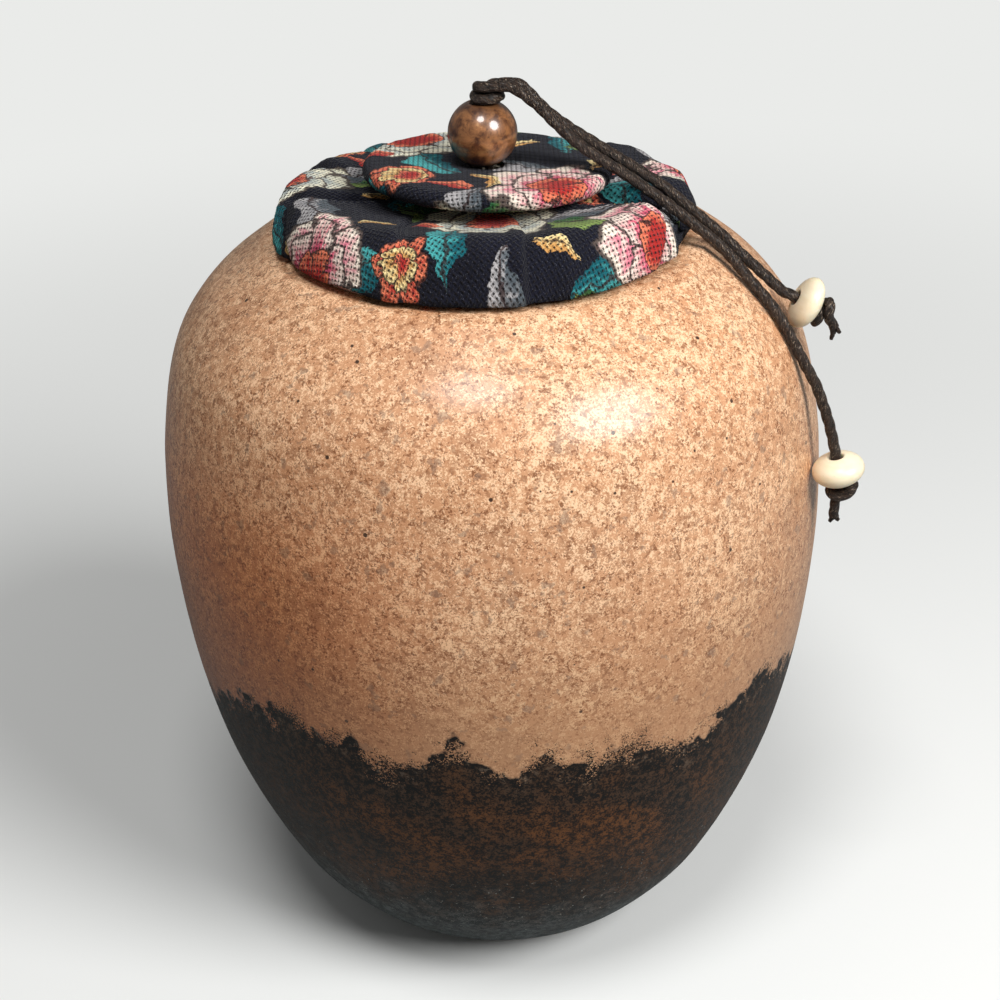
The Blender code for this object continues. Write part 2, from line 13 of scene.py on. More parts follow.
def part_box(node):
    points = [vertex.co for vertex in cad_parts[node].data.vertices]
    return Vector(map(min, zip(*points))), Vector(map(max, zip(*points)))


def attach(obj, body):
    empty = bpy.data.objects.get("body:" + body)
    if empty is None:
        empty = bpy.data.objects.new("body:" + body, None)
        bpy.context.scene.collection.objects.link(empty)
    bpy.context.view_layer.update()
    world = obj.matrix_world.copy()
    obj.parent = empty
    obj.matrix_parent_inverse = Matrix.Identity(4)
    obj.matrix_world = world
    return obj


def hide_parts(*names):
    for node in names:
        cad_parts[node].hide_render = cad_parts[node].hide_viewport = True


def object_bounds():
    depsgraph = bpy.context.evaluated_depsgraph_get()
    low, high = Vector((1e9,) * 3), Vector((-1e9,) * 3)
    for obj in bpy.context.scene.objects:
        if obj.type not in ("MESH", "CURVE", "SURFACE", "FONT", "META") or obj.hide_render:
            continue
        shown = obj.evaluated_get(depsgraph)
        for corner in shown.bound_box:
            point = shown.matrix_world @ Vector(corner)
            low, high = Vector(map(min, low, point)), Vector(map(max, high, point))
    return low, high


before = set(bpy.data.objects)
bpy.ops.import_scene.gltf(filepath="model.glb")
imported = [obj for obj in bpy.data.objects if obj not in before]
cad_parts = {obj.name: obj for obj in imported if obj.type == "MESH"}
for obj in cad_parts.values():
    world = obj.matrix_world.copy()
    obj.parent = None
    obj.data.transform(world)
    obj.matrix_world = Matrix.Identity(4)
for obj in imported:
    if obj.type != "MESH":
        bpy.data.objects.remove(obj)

CAD_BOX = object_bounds()
UP = Vector((0, 0, 1))
MILLIMETRE = 0.001

# Camera: its place, how far it looks down and leans, in degrees, and its lens
CAMERA_PLACE = (0.0, -0.33014, 0.26423)
CAMERA_DOWN = 28.569
CAMERA_LEAN = 1.709
CAMERA_LENS = 72.0
CAMERA_SENSOR = 36.0
CAMERA_SHIFT = 0.00648
CAMERA_CLIP = 0.01

# Lights: azimuth from the front towards +X and elevation in degrees, distance, width and power
LIGHTS = {
    "key": (47.5, 39.0, 0.90, 0.44, 8.2),
    "top": (-11.0, 66.0, 0.90, 0.30, 3.8),
}
WORLD_STRENGTH = 0.20

# Floor: its colour to the eye and to the light, and how far out it fades into the background
FLOOR_WIDTH = 6.0
FLOOR_COLOR = (232, 233, 231)
FLOOR_SHADE = (140, 145, 145)
FLOOR_FADE = (0.10, 0.50)
BACKGROUND_COLOR = (234, 235, 233)

# Cord: its thickness where it hangs and where it is held, and how its strands are laid
CORD = 0.0020
HELD_CORD = 0.0016
CORD_STRANDS = 3
CORD_LAY = 0.0076
STRAND_SHARE = 0.74
CORD_RINGS = 18
CORD_STEP = 0.00035

# Tails: where they leave the knob, their routes in millimetres, and their beads' place, axis and length
LONG_START = (0.0029, -0.0022, 0.16465)
LONG_ROUTE = (
    (4.1, -2.2, 164.65), (5.3, -2.3, 164.3), (6.6, -2.5, 163.6), (8.1, -2.9, 162.5),
    (9.8, -3.3, 161.1), (11.4, -3.9, 159.5), (13.1, -4.5, 157.9), (15.5, -5.4, 155.8),
    (18.0, -6.3, 154.1), (20.5, -7.2, 152.6), (23.0, -8.0, 151.2), (25.4, -8.9, 149.7),
    (27.9, -9.8, 148.1), (30.4, -10.5, 146.4), (32.9, -11.1, 144.5), (35.4, -11.6, 142.5),
    (38.0, -12.0, 140.4), (40.0, -12.4, 138.6), (41.7, -13.0, 136.9), (43.3, -13.9, 135.1),
    (44.9, -15.0, 133.3), (46.6, -16.1, 131.5), (48.2, -17.2, 129.7), (49.6, -18.2, 127.7),
    (50.9, -19.1, 125.5), (52.1, -19.8, 123.2), (53.3, -20.4, 121.0), (54.5, -20.9, 118.8),
    (55.8, -21.3, 116.3), (56.8, -21.6, 113.6), (57.8, -22.0, 110.7), (58.6, -22.3, 107.9),
)
LONG_BEAD = ((0.0601, -0.0229, 0.1010), (0.21, 0, -0.98), 0.0053)
SHORT_START = (0.0045, 0.0, 0.164504)
SHORT_ROUTE = (
    (5.7, 0.0, 164.504), (7.0, -0.1, 163.9), (8.4, -0.4, 162.5), (9.9, -0.8, 160.9),
    (11.5, -1.4, 159.5), (13.2, -2.0, 158.3), (15.7, -2.8, 156.7), (18.2, -3.6, 155.3),
    (20.6, -4.4, 153.9), (23.1, -5.3, 152.5), (25.6, -6.1, 151.1), (28.1, -6.9, 149.6),
    (30.6, -7.7, 148.0), (33.1, -8.4, 146.0), (35.6, -9.1, 143.9), (38.2, -9.7, 141.8),
    (40.7, -10.2, 139.6), (43.2, -11.2, 137.2), (45.7, -12.4, 135.1), (48.2, -13.7, 133.0),
    (50.0, -14.6, 131.5),
)
SHORT_BEAD = ((0.0543, -0.0155, 0.1294), (0.87, 0.03, -0.49), 0.0043)
BEAD_STEPS = 96
BEAD_STEP = 0.0003
CORD_GAP = 0.0003

# Knob: its middle, and how far from it its ends darken, in millimetres
KNOB_MIDDLE = 156.0
KNOB_ENDS = (3.6, 5.3)
KNOB_STEPS = 128
KNOB_STEP = 0.0004

# Winding on the knob, with its cord at its full thickness, and the strands that come up into it
WOUND_CORD = 0.0020
STRAND_OFFSET = 0.0010
WRAP_FROM = -0.2
WRAP_TURNS = 1.25
WRAP_RADIUS = 0.0021
WRAP_TIGHT = 0.0016
WRAP_LOW = 0.1624
WRAP_CLIMBS = (0, 0.0001, 0.0016)
KNOB_TOP = 0.1614
WRAP_POINTS = 32
OVER_BEND = 0.0016
OVER_HIGH = 0.164504
RISER_LOW = 0.1302
THINS_FROM = 0.12
THINS_OVER = 0.12

# Knots at the tails' ends: each cord's places beyond its bead and its frayed strands, in millimetres
KNOT_CORD = 0.00185
LONG_KNOT = (
    (0.0, 0.0, -1.0), (0.0, -0.2, 0.4), (-1.0, -1.2, 0.9), (-2.1, -0.3, 1.2), (-1.6, 1.1, 1.7),
    (0.0, 1.6, 1.9), (1.6, 1.0, 1.3), (2.1, -0.3, 0.9), (1.0, -1.2, 1.5), (-0.3, -0.6, 2.2),
    (-1.3, 0.0, 3.1), (-1.8, 0.1, 4.4), (-2.1, 0.0, 5.6), (-2.2, 0.0, 6.5),
)
LONG_FRAYS = ((-0.5, 0.0, 0.8), (0.5, 0.3, 0.7), (0.0, -0.4, 0.8))
SHORT_KNOT = (
    (0.0, 0.0, -1.0), (0.0, 0.2, 0.3), (-1.0, 1.0, 0.8), (-2.3, 0.3, 0.9), (-1.6, -1.0, 1.2),
    (0.0, -1.5, 1.4), (1.4, -0.9, 1.4), (1.8, 0.3, 1.4), (1.1, 1.3, 1.6), (0.1, 1.3, 2.0),
    (-0.6, 0.6, 2.7), (-1.1, 0.3, 3.6), (-1.7, 0.2, 4.5),
)
SHORT_FRAYS = ((-1.3, 0.0, 1.0), (0.3, 0.2, 1.7), (-0.3, -0.5, 1.2))
TAILS = {
    "long": (LONG_START, LONG_ROUTE, LONG_BEAD, LONG_KNOT, LONG_FRAYS),
    "short": (SHORT_START, SHORT_ROUTE, SHORT_BEAD, SHORT_KNOT, SHORT_FRAYS),
}

# Frayed strands: their thickness and lay in metres, how far back and out of the cord's end they start in
# millimetres, the shares of their run at which they bend, and how much they thin
FRAY_CORD = 0.0010
FRAY_LAY = 0.003
FRAY_BACK = 0.9
FRAY_OUT = 0.35
FRAY_BEND = (0.4, 0.25)
FRAY_THINS = 0.35

# Cushion: its rim, its lean, and the levels of its cloth, as in the solids
CLOTH = 0.0006
LIP_RADIUS = 0.0330
HEM_LOW = 0.1401
HEM_RADIUS = 0.0295
CUSHION_RADIUS = 0.0372
CUSHION_RIM_WIDTH = 0.0068
CUSHION_RIM_RISE = 0.0080
CUSHION_RIM_DROP = 0.0017
CUSHION_WIDEST = 0.1399
CUSHION_DIP = 0.0015
CUSHION_LEAN = 3.6
CUSHION_HOLE = 0.0030
SHELF_RADIUS = 0.0188
BOARD_EDGE = 0.0343
PAD_LOW = 0.1423
CUSHION_LOWEST = 0.1386
CUSHION_STEPS = 360
CUSHION_STEP = 0.0009

# Pleats: each crease's angle from +X at three shares of the cloth's way out, and its share of the depth
PLEAT_DEPTH = 0.0022
PLEAT_LEVEL_SHARES = (0.32, 0.66, 0.85)
PLEATS = (
    (12.0, 12.0, 12.0, 0.55),
    (47.0, 44.0, 47.0, 0.65),
    (78.0, 80.0, 78.0, 0.45),
    (104.0, 101.0, 104.0, 0.50),
    (133.0, 129.0, 131.0, 0.55),
    (158.0, 150.0, 166.0, 0.75),
    (190.5, 183.0, 203.0, 1.00),
    (228.0, 245.5, 247.5, 0.38),
    (286.0, 279.5, 279.0, 0.38),
    (322.0, 331.0, 317.0, 0.60),
)
PLEAT_STEP = 1.4
PLEAT_SLOPE = 15.0
PLEAT_FALL = 1.7
PLEAT_ROLL = 6.0
PLEAT_ROLL_SHARE = 0.16
PLEAT_TAKES = 9.0

# Groove where the cords press into the rim, in metres and degrees
GROOVE_DEPTH = 0.0036
GROOVE_ANGLE = 341.0
GROOVE_HALF_WIDTH = 15.0

# How much of a fold's depth shows at each point of the cushion's line, and where the cloth is held
FOLD_REACH_SHARES = (0, 0.6, 1, 1, 1, 0.95, 0.85, 0.7, 0.3, 0, 0)
PINNED_SHARE = 0.32
PINNED_DEPTH = 0.0009
WRINKLE = 0.00022
WRINKLE_BROAD = (9, 120)
WRINKLE_FINE = (23, 90)
WRINKLE_SHARE = 0.6

# Cloth simulation of the cushion: how many times its size it runs at, and how far a point may move
SWELL_SCALE = 10.0
SWELL_FRAMES = 20
SWELL_CAP = 0.0011
SWELL_CLOTH = {
    "quality": 6,
    "mass": 0.3,
    "tension_stiffness": 15,
    "compression_stiffness": 15,
    "shear_stiffness": 5,
    "bending_stiffness": 0.5,
    "use_pressure": True,
    "uniform_pressure_force": 4.0,
}

# Cloth-covered button: its form, where the print lies on it, and its ripples and its rim's puckers
BUTTON_RADIUS = 0.0215
BUTTON_ACROSS = 0.0006
BUTTON_THICKNESS = 0.0030
BUTTON_DIP = 0.0006
BUTTON_BELLY = 0.0012
BUTTON_HEIGHT = 0.1494
BUTTON_LEAN_BACK = 3.3
BUTTON_LEAN_RIGHT = 2.4
BUTTON_HOLE = 0.0030
BUTTON_STEPS = 160
BUTTON_STEP = 0.0007
BUTTON_PRINT = (-0.02, 0.02)
BUTTON_RIM_SHARE = 0.4
BUTTON_RIPPLE = 0.00016
BUTTON_RIPPLES = (160, 3)
BUTTON_PUCKER = (0.00012, 0.00014)
BUTTON_PUCKERS = (11, 150)

# Cloth cup over the cork, drawn in by gathers up its side
CUP_STEPS = 180
CUP_STEP = 0.0012
CUP_SIDE = 0.02
CUP_GATHERS = (16, 1)
CUP_GATHER = 0.00018

# Line between the two glazes: azimuth from the front towards +X in degrees, and height in millimetres
GLAZE_LINE = (
    (-180, 66.0), (-160, 62.5), (-145, 67.2), (-128, 64.0), (-112, 66.8), (-98, 62.2),
    (-84, 60.0), (-71, 57.0), (-60, 62.2), (-52, 65.5), (-36, 68.2), (-26, 66.8),
    (-17, 63.6), (-8, 69.2), (2, 64.0), (7, 67.2), (12, 64.4), (22, 65.2),
    (34, 61.8), (42, 65.5), (52, 67.2), (64, 63.4), (80, 61.0), (96, 65.5),
    (112, 62.8), (128, 67.6), (146, 64.0), (162, 66.8), (180, 66.0),
)
GLAZE_LINE_RANGE = (45.0, 80.0)

# Jar: the steps round it and along its outline
JAR_STEPS = 288
JAR_STEP = 0.0016

# Print: the repeat of its pattern, and each motif's centre and turn, in millimetres and degrees
PRINT_REPEAT = 46.0
PRINT_LINE = (52, 30, 28)
PETAL_RINGS = ((6, 1.0), (5, 0.70), (4, 0.40))
PINK = ((214, 84, 112), (248, 226, 212))
ROSE = ((232, 128, 148), (250, 236, 218))
CREAM = ((176, 184, 182), (248, 242, 216))
CORAL = ((176, 44, 40), (238, 132, 98))
GOLD = ((206, 150, 84), (246, 222, 160))
FLOWERS = (
    ((-8.0, 5.0), 12.6, 20.0, (ROSE, PINK, CORAL)),
    ((13.0, -12.0), 11.6, 65.0, (CREAM, CREAM, CORAL)),
    ((12.0, 11.0), 6.0, 10.0, (CORAL, GOLD, CORAL)),
)
LEAF_SIZE = (8.6, 3.3)
TEAL = ((16, 92, 102), (74, 168, 168))
GREEN = ((40, 92, 50), (134, 158, 84))
GREY = ((84, 92, 98), (176, 172, 172))
LEAVES = (
    ((4.5, 8.0), 35.0, TEAL),
    ((-17.5, -4.0), 215.0, GREEN),
    ((-6.0, -9.5), 280.0, TEAL),
    ((21.5, -2.0), 75.0, GREY),
    ((1.5, -15.0), 200.0, GREEN),
    ((16.0, 19.5), 120.0, TEAL),
    ((-14.0, 18.0), 150.0, GREY),
)
BUD_SIZE = (3.6, 1.6)
BUDS = (
    ((3.0, -3.0), 100.0, GOLD),
    ((-14.0, -13.0), 30.0, GOLD),
    ((20.0, 7.0), 340.0, CORAL),
    ((-1.0, 19.0), 60.0, GOLD),
    ((-20.0, 9.0), 290.0, GOLD),
    ((7.0, -21.0), 15.0, CORAL),
)

# Turns above which an outline's point is a corner, for rigid pieces and for cloth, in degrees
HARD_CORNER = 24.0
SOFT_CORNER = 60.0


def linear(color):
    """A screen colour from 0 to 255 as the linear values that shaders take."""
    shares = [value / 255 for value in color]
    return tuple(s / 12.92 if s <= 0.04045 else ((s + 0.055) / 1.055) ** 2.4 for s in shares)


# Curves and meshes


def curve_points(before, start, end, after, spacing):
    """Points about one spacing apart from start to end, on a smooth curve between their neighbours."""
    steps = max(1, round((end - start).length / spacing))
    found = []
    for step in range(1, steps + 1):
        share = step / steps
        line = 2 * start + (end - before) * share
        bend = (2 * before - 5 * start + 4 * end - after) * share**2
        twist = (3 * start - before - 3 * end + after) * share**3
        found.append((line + bend + twist) / 2)
    return found


def smooth_route(points, spacing):
    """Points about one spacing apart on the smooth curve through the given points."""
    route = [Vector(point) for point in points]
    ends = [2 * route[0] - route[1]] + route + [2 * route[-1] - route[-2]]
    found = [route[0]]
    for places in zip(ends, ends[1:], ends[2:], ends[3:]):
        found += curve_points(*places, spacing)
    return found


def evened(points, spacing):
    """The same line with its points one spacing apart."""
    places = np.array([tuple(point) for point in points])
    along = np.concatenate([[0], np.cumsum(np.linalg.norm(np.diff(places, axis=0), axis=1))])
    at = np.linspace(0, along[-1], max(2, round(along[-1] / spacing) + 1))
    return [Vector(place) for place in np.stack([np.interp(at, along, row) for row in places.T], axis=1)]


def travelled(line):
    """How far along a line each of its points lies."""
    return np.concatenate([[0], np.cumsum([math.dist(a, b) for a, b in zip(line, line[1:])])])


def arc(centre, radii, start, end, steps):
    """Points on an ellipse's arc from one angle to another, in degrees."""
    found = []
    for step in range(steps + 1):
        angle = math.radians(start + (end - start) * step / steps)
        found.append((centre[0] + radii[0] * math.cos(angle), centre[1] + radii[1] * math.sin(angle)))
    return found


def finer(outline, spacing, corner=HARD_CORNER):
    """An outline with points one spacing apart, rounded through all but its corners."""
    points = [Vector((radius, height)) for radius, height in outline]
    found = [points[0]]
    for index, (start, end) in enumerate(zip(points, points[1:])):
        before = points[index - 1] if index and not turns(points, index, corner) else 2 * start - end
        last = index + 2 >= len(points) or turns(points, index + 1, corner)
        after = 2 * end - start if last else points[index + 2]
        found += curve_points(before, start, end, after, spacing)
    return [(point.x, point.y) for point in found]


def turns(points, index, corner):
    """Whether an outline has a corner at a point."""
    before, after = points[index] - points[index - 1], points[index + 1] - points[index]
    if not before.length or not after.length:
        return True
    return math.degrees(before.angle(after)) > corner


def add_object(name, data):
    obj = bpy.data.objects.new(name, data)
    bpy.context.scene.collection.objects.link(obj)
    return obj


def add_mesh(name, places, faces):
    mesh = bpy.data.meshes.new(name)
    mesh.from_pydata(places, [], faces)
    mesh.validate()
    mesh.shade_smooth()
    return add_object(name, mesh)


def grid_faces(rows, columns, wrap_rows):
    """Quads over a grid of points that closes across its columns, and across its rows if asked."""
    faces = []
    for row in range(rows if wrap_rows else rows - 1):
        here, following = row * columns, (row + 1) % rows * columns
        for column in range(columns):
            beside = (column + 1) % columns
            faces.append((here + column, following + column, following + beside, here + beside))
    return faces


def revolved(name, outline, steps, closed, matrix=Matrix.Identity(4)):
    """A piece turned about Z from an outline that runs down its outer side, then placed by a matrix."""
    ends = [] if closed else [(0, outline[0][1]), (0, outline[-1][1])]
    line = [place for place in outline if closed or place[0] > 0]
    places = []
    for radius, height in line:
        for step in range(steps):
            angle = math.tau * step / steps
            places.append(matrix @ Vector((radius * math.cos(angle), radius * math.sin(angle), height)))
    faces = grid_faces(len(line), steps, closed)
    if not closed:
        places += [matrix @ Vector((0, 0, height)) for _, height in ends]
        last = (len(line) - 1) * steps
        for step in range(steps):
            beside = (step + 1) % steps
            faces.append((len(places) - 2, step, beside))
            faces.append((last + step, len(places) - 1, last + beside))
    return add_mesh(name, places, faces)


def section(node, matrix):
    """A turned CAD piece's outline in order, as (radius, height), from its edges at +X of its axis."""
    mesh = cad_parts[node].data
    back = matrix.inverted()
    near = 2e-6
    links = {}
    for face in mesh.polygons:
        places = [back @ mesh.vertices[index].co for index in face.vertices]
        for start, end in zip(places, places[1:] + places[:1]):
            if max(abs(start.y), abs(end.y)) < near and min(start.x, end.x) > -near:
                keys = [(round(place.x, 6), round(place.z, 6)) for place in (start, end)]
                if keys[0] != keys[1]:
                    links.setdefault(keys[0], set()).add(keys[1])
                    links.setdefault(keys[1], set()).add(keys[0])
    ends = [key for key in links if len(links[key]) == 1]
    here = max(ends, key=lambda key: key[1]) if ends else max(links)
    line, seen = [here], {here}
    while True:
        ahead = [key for key in links[here] if key not in seen]
        if not ahead:
            return line
        here = ahead[0]
        line.append(here)
        seen.add(here)


# Materials


class Value:
    """A number that a shader's nodes work out, with plain arithmetic."""

    def __init__(self, shader, socket):
        self.shader, self.socket = shader, socket

    def __add__(self, other):
        return self.shader.math("ADD", self, other)

    def __sub__(self, other):
        return self.shader.math("SUBTRACT", self, other)

    def __rsub__(self, other):
        return self.shader.math("SUBTRACT", other, self)

    def __mul__(self, other):
        return self.shader.math("MULTIPLY", self, other)

    def __truediv__(self, other):
        return self.shader.math("DIVIDE", self, other)

    def __abs__(self):
        return self.shader.math("ABSOLUTE", self)


class Nodes:
    """A tree of nodes, which are added by plain calls."""

    def __init__(self, owner):
        owner.use_nodes = True
        self.tree = owner.node_tree

    def node(self, kind, inputs=(), **settings):
        made = self.tree.nodes.new(kind)
        for key, value in settings.items():
            setattr(made, key, value)
        for key, value in dict(inputs).items():
            self.put(made.inputs[key], value)
        return made

    def put(self, socket, value):
        """Gives a socket a number, a colour, a Value or another socket's output."""
        if isinstance(value, Value):
            value = value.socket
        if isinstance(value, bpy.types.NodeSocket):
            self.tree.links.new(value, socket)
        elif value is not None:
            if isinstance(value, tuple) and len(value) == 3 and len(socket.default_value) == 4:
                value = (*value, 1.0)
            socket.default_value = value


class Shader(Nodes):
    """One material's nodes, round its own surface."""

    def __init__(self, name):
        self.material = bpy.data.materials.new(name)
        super().__init__(self.material)
        self.surface = self.tree.nodes["Principled BSDF"]

    def finish(self, **inputs):
        """Gives the surface its inputs, with _ for each space in their names."""
        for key, value in inputs.items():
            self.put(self.surface.inputs[key.replace("_", " ")], value)
        return self.material

    def math(self, operation, first, second=None):
        made = self.node("ShaderNodeMath", operation=operation)
        for socket, value in zip(made.inputs, (first, second)):
            self.put(socket, value)
        return Value(self, made.outputs[0])

    def ramp(self, value, low, high, start=0.0, end=1.0):
        """Smoothly from start to end as the value goes from low to high."""
        inputs = {"Value": value, 1: low, 2: high, 3: start, 4: end}
        made = self.node("ShaderNodeMapRange", inputs, interpolation_type="SMOOTHSTEP")
        return Value(self, made.outputs[0])

    def mix(self, share, first, second, blend="MIX"):
        made = self.node("ShaderNodeMix", data_type="RGBA", blend_type=blend, clamp_factor=True)
        for key, value in (("Factor", share), (6, first), (7, second)):
            self.put(made.inputs[key], value)
        return made.outputs[2]

    def between(self, share, first, second):
        """From one screen colour to another by a share."""
        return self.mix(share, linear(first), linear(second))

    def cover(self, color, over, value, low, high, share=1.0):
        """The colour, and over it a screen colour that comes up to a share as the value nears high."""
        return self.mix(self.ramp(value, low, high, 0.0, share), color, linear(over))

    def vector(self, operation, *values):
        made = self.node("ShaderNodeVectorMath", enumerate(values), operation=operation)
        return made.outputs["Vector"]

    def scaled(self, vector, scale):
        made = self.node("ShaderNodeVectorMath", {0: vector, "Scale": scale}, operation="SCALE")
        return made.outputs["Vector"]

    def length(self, vector):
        made = self.node("ShaderNodeVectorMath", {0: vector}, operation="LENGTH")
        return Value(self, made.outputs["Value"])

    def split(self, vector):
        made = self.node("ShaderNodeSeparateXYZ", {"Vector": vector})
        return [Value(self, socket) for socket in made.outputs]

    def join(self, x, y):
        return self.node("ShaderNodeCombineXYZ", {"X": x, "Y": y}).outputs[0]

    def place(self):
        """Object coordinates in millimetres."""
        return self.scaled(self.node("ShaderNodeTexCoord").outputs["Object"], 1000.0)

    def flat(self):
        """The cloth's or cord's own coordinates, in millimetres."""
        return self.scaled(self.node("ShaderNodeUVMap", uv_map="flat").outputs[0], 1000.0)

    def clouds(self, place, scale, detail, roughness, distortion=0.0):
        inputs = {"Vector": place, "Scale": scale, "Detail": detail}
        inputs |= {"Roughness": roughness, "Distortion": distortion}
        return self.node("ShaderNodeTexNoise", inputs).outputs

    def noise(self, place, scale, detail=3.0, roughness=0.55, distortion=0.0, away=None):
        """A number that wanders about a half, read that far away from the place."""
        place = self.vector("ADD", place, away) if away else place
        return Value(self, self.clouds(place, scale, detail, roughness, distortion)["Fac"])

    def drift(self, place, reach, scale, detail, roughness=0.55):
        """A vector that wanders about zero."""
        colors = self.clouds(place, scale, detail, roughness)["Color"]
        return self.scaled(self.vector("SUBTRACT", colors, (0.5, 0.5, 0.5)), reach)

    def cells(self, place, scale):
        """(the distance from the nearest cell's middle, a number of that cell's own)."""
        made = self.node("ShaderNodeTexVoronoi", {"Vector": place, "Scale": scale})
        return Value(self, made.outputs["Distance"]), self.split(made.outputs["Color"])[0]

    def bump(self, height, distance, strength):
        inputs = {"Height": height, "Distance": distance, "Strength": strength}
        return self.node("ShaderNodeBump", inputs).outputs[0]


def line_height(s, x, y):
    """The height of the line between the glazes, in millimetres, round the jar."""
    azimuth = s.math("ARCTAN2", x, y * -1.0)
    curve = s.node("ShaderNodeFloatCurve", {"Value": azimuth * (1 / math.tau) + 0.5})
    lowest, highest = GLAZE_LINE_RANGE
    points = curve.mapping.curves[0].points
    for degrees, height in GLAZE_LINE[1:-1]:
        points.new(degrees / 360 + 0.5, (height - lowest) / (highest - lowest))
    points[0].location = (0.0, (GLAZE_LINE[0][1] - lowest) / (highest - lowest))
    points[-1].location = (1.0, (GLAZE_LINE[-1][1] - lowest) / (highest - lowest))
    curve.mapping.update()
    return Value(s, curve.outputs[0]) * (highest - lowest) + lowest


def glaze_material():
    """Two satin glazes: speckled sandy tan over a ragged line, near-black brown with rust below it."""
    s = Shader("jar_glaze")
    place = s.place()
    x, y, z = s.split(place)
    fine = s.noise(place, 3.2, 4.0, 0.75)
    grit = s.noise(place, 2.1, 3.0, 0.75, away=(19.0, 5.0, 8.0))
    cluster = s.noise(place, 0.7, 4.0, 0.65)
    lobes = s.noise(place, 0.21, 3.0, 0.5) - 0.5
    over = lobes * 13.0 + z - line_height(s, x, y)
    thin = s.ramp(s.noise(place, 0.24, away=(3.0, 40.0, 9.0)), 0.46, 0.56)
    edge = (fine * 0.6 + grit * 0.4 - 0.5) * (thin * 44.0 + 1.6) + over
    upper = s.ramp(edge, -0.15, 0.2)

    # The tan glaze: lighter up the jar, with pale grains, dusky ones, spots and pits
    height = s.ramp(z, 66.0, 108.0)
    mixed = fine * 0.62 + cluster * 0.38 + height * 0.022 + s.noise(place, 0.05) * 0.16
    base = s.between(height, (182, 132, 94), (202, 148, 108))
    patch = s.noise(place, 0.13, away=(7.0, 1.0, 60.0))
    base = s.cover(base, (162, 118, 86), patch, 0.50, 0.66, 0.45)
    light = s.between(height, (214, 168, 126), (244, 202, 162))
    base = s.mix(s.ramp(mixed, 0.585, 0.65), base, light)
    shade = s.noise(place, 0.55, 3.0, 0.6, away=(31.0, 7.0, 3.0))
    base = s.cover(base, (126, 76, 44), grit * 0.66 + shade * 0.34, 0.535, 0.59, 0.9)
    spot = s.noise(place, 0.95, 2.0, 0.5, away=(9.0, 44.0, 2.0))
    base = s.cover(base, (146, 98, 66), spot, 0.585, 0.65, 0.62)
    grey = s.noise(place, 0.36, away=(2.0, 77.0, 5.0))
    base = s.cover(base, (128, 104, 88), grey, 0.62, 0.68, 0.5)
    distance, size = s.cells(place, 0.2)
    pit = s.ramp(size * -0.07 + distance, 0.004, 0.022, 1.0, 0.0)
    base = s.mix(pit * 0.92, base, linear((40, 24, 18)))

    # Painted shade darkens and warms the lower left side; the tan is even just above the line, with a thin
    # dark rim along it
    painted_left_shade = s.ramp(x, 4.0, -46.0) * s.ramp(z, 128.0, 92.0)
    # painted shade: the lower left multiplied darker and more orange
    base = s.mix(painted_left_shade, base, (0.82, 0.50, 0.28), "MULTIPLY")
    calm = s.ramp(over, 1.0, 16.0, 0.45, 0.0) * s.ramp(x, -50.0, 0.0)
    base = s.mix(calm, base, linear((188, 140, 102)))
    rim = s.ramp(edge, 1.0, 0.1) * s.ramp(edge, -0.1, 0.1)
    base = s.mix(rim * 0.55, base, linear((70, 48, 36)))

    # The dark glaze: rusty at the front, with a painted grey reflection at the foot, pale sparks and shreds
    # of the tan one
    fleck = grit * 0.42 + fine * 0.26 + cluster * 0.32
    grains = s.ramp(fleck, 0.45, 0.56)
    dark = s.between(s.ramp(fleck, 0.47, 0.56), (10, 7, 6), (70, 50, 36))
    brown = s.between(grains, (26, 14, 8), (110, 68, 36))
    # painted reflection: grey with pale grains, laid on the foot as the floor's sheen
    painted_foot_sheen = s.between(grains, (32, 34, 34), (106, 110, 109))
    rusty = s.ramp(z, 14.0, 34.0) * s.ramp(over, -2.0, -15.0) * s.ramp(abs(x), 46.0, 20.0, 0.2, 1.0)
    dark = s.mix(rusty * s.ramp(s.noise(place, 0.085), 0.38, 0.64, 0.0, 0.9), dark, brown)
    dark = s.mix(s.ramp(lobes * 30.0 + x * 0.12 + z, 32.0, 8.0, 0.0, 0.95), dark, painted_foot_sheen)
    spark = s.noise(place, 1.5, 2.0, 0.6, away=(60.0, 3.0, 21.0))
    spark = s.ramp(spark, 0.69, 0.72, 0.0, 0.8) * s.ramp(z, 44.0, 26.0)
    dark = s.mix(spark, dark, linear((176, 172, 162)))
    dark = s.cover(dark, (15, 11, 10), edge, -3.5, -0.3, 0.75)
    shred = s.ramp(cluster * 0.6 + fine * 0.4, 0.54, 0.60) * s.ramp(over, -7.0, -0.5)
    dark = s.mix(shred * 0.6, dark, linear((112, 98, 84)))

    # Both, with bare clay on the foot ring
    bare = s.ramp(z, 0.9, 0.5)
    color = s.mix(bare, s.mix(upper, dark, base), linear((126, 96, 74)))
    relief = fine * 0.45 + cluster * 0.4 - pit * 0.5 + s.ramp(over, -0.8, 0.8, 0.0, 0.9)
    rough = s.mix(upper, s.ramp(grit, 0.3, 0.7, 0.40, 0.58), s.ramp(grit, 0.35, 0.65, 0.44, 0.56))
    return s.finish(
        Base_Color=color,
        Roughness=s.mix(bare, rough, (0.85, 0.85, 0.85)),
        Coat_Weight=upper * 0.55 + 0.03,
        Coat_Roughness=0.25,
        Specular_IOR_Level=0.22,
        Normal=s.bump(relief, 0.0002, 0.45),
    )


def weave(s, flat, pitch):
    """(height, hole) of a plain weave with threads one pitch apart."""
    x, y, _ = s.split(s.scaled(flat, math.pi / pitch))
    across, along = abs(s.math("SINE", x)), abs(s.math("SINE", y))
    pick = s.ramp(s.math("COSINE", x) * s.math("COSINE", y), -0.25, 0.25)
    height = (across - along) * pick + along
    return height, s.ramp(across, 0.72, 0.32) * s.ramp(along, 0.72, 0.32)


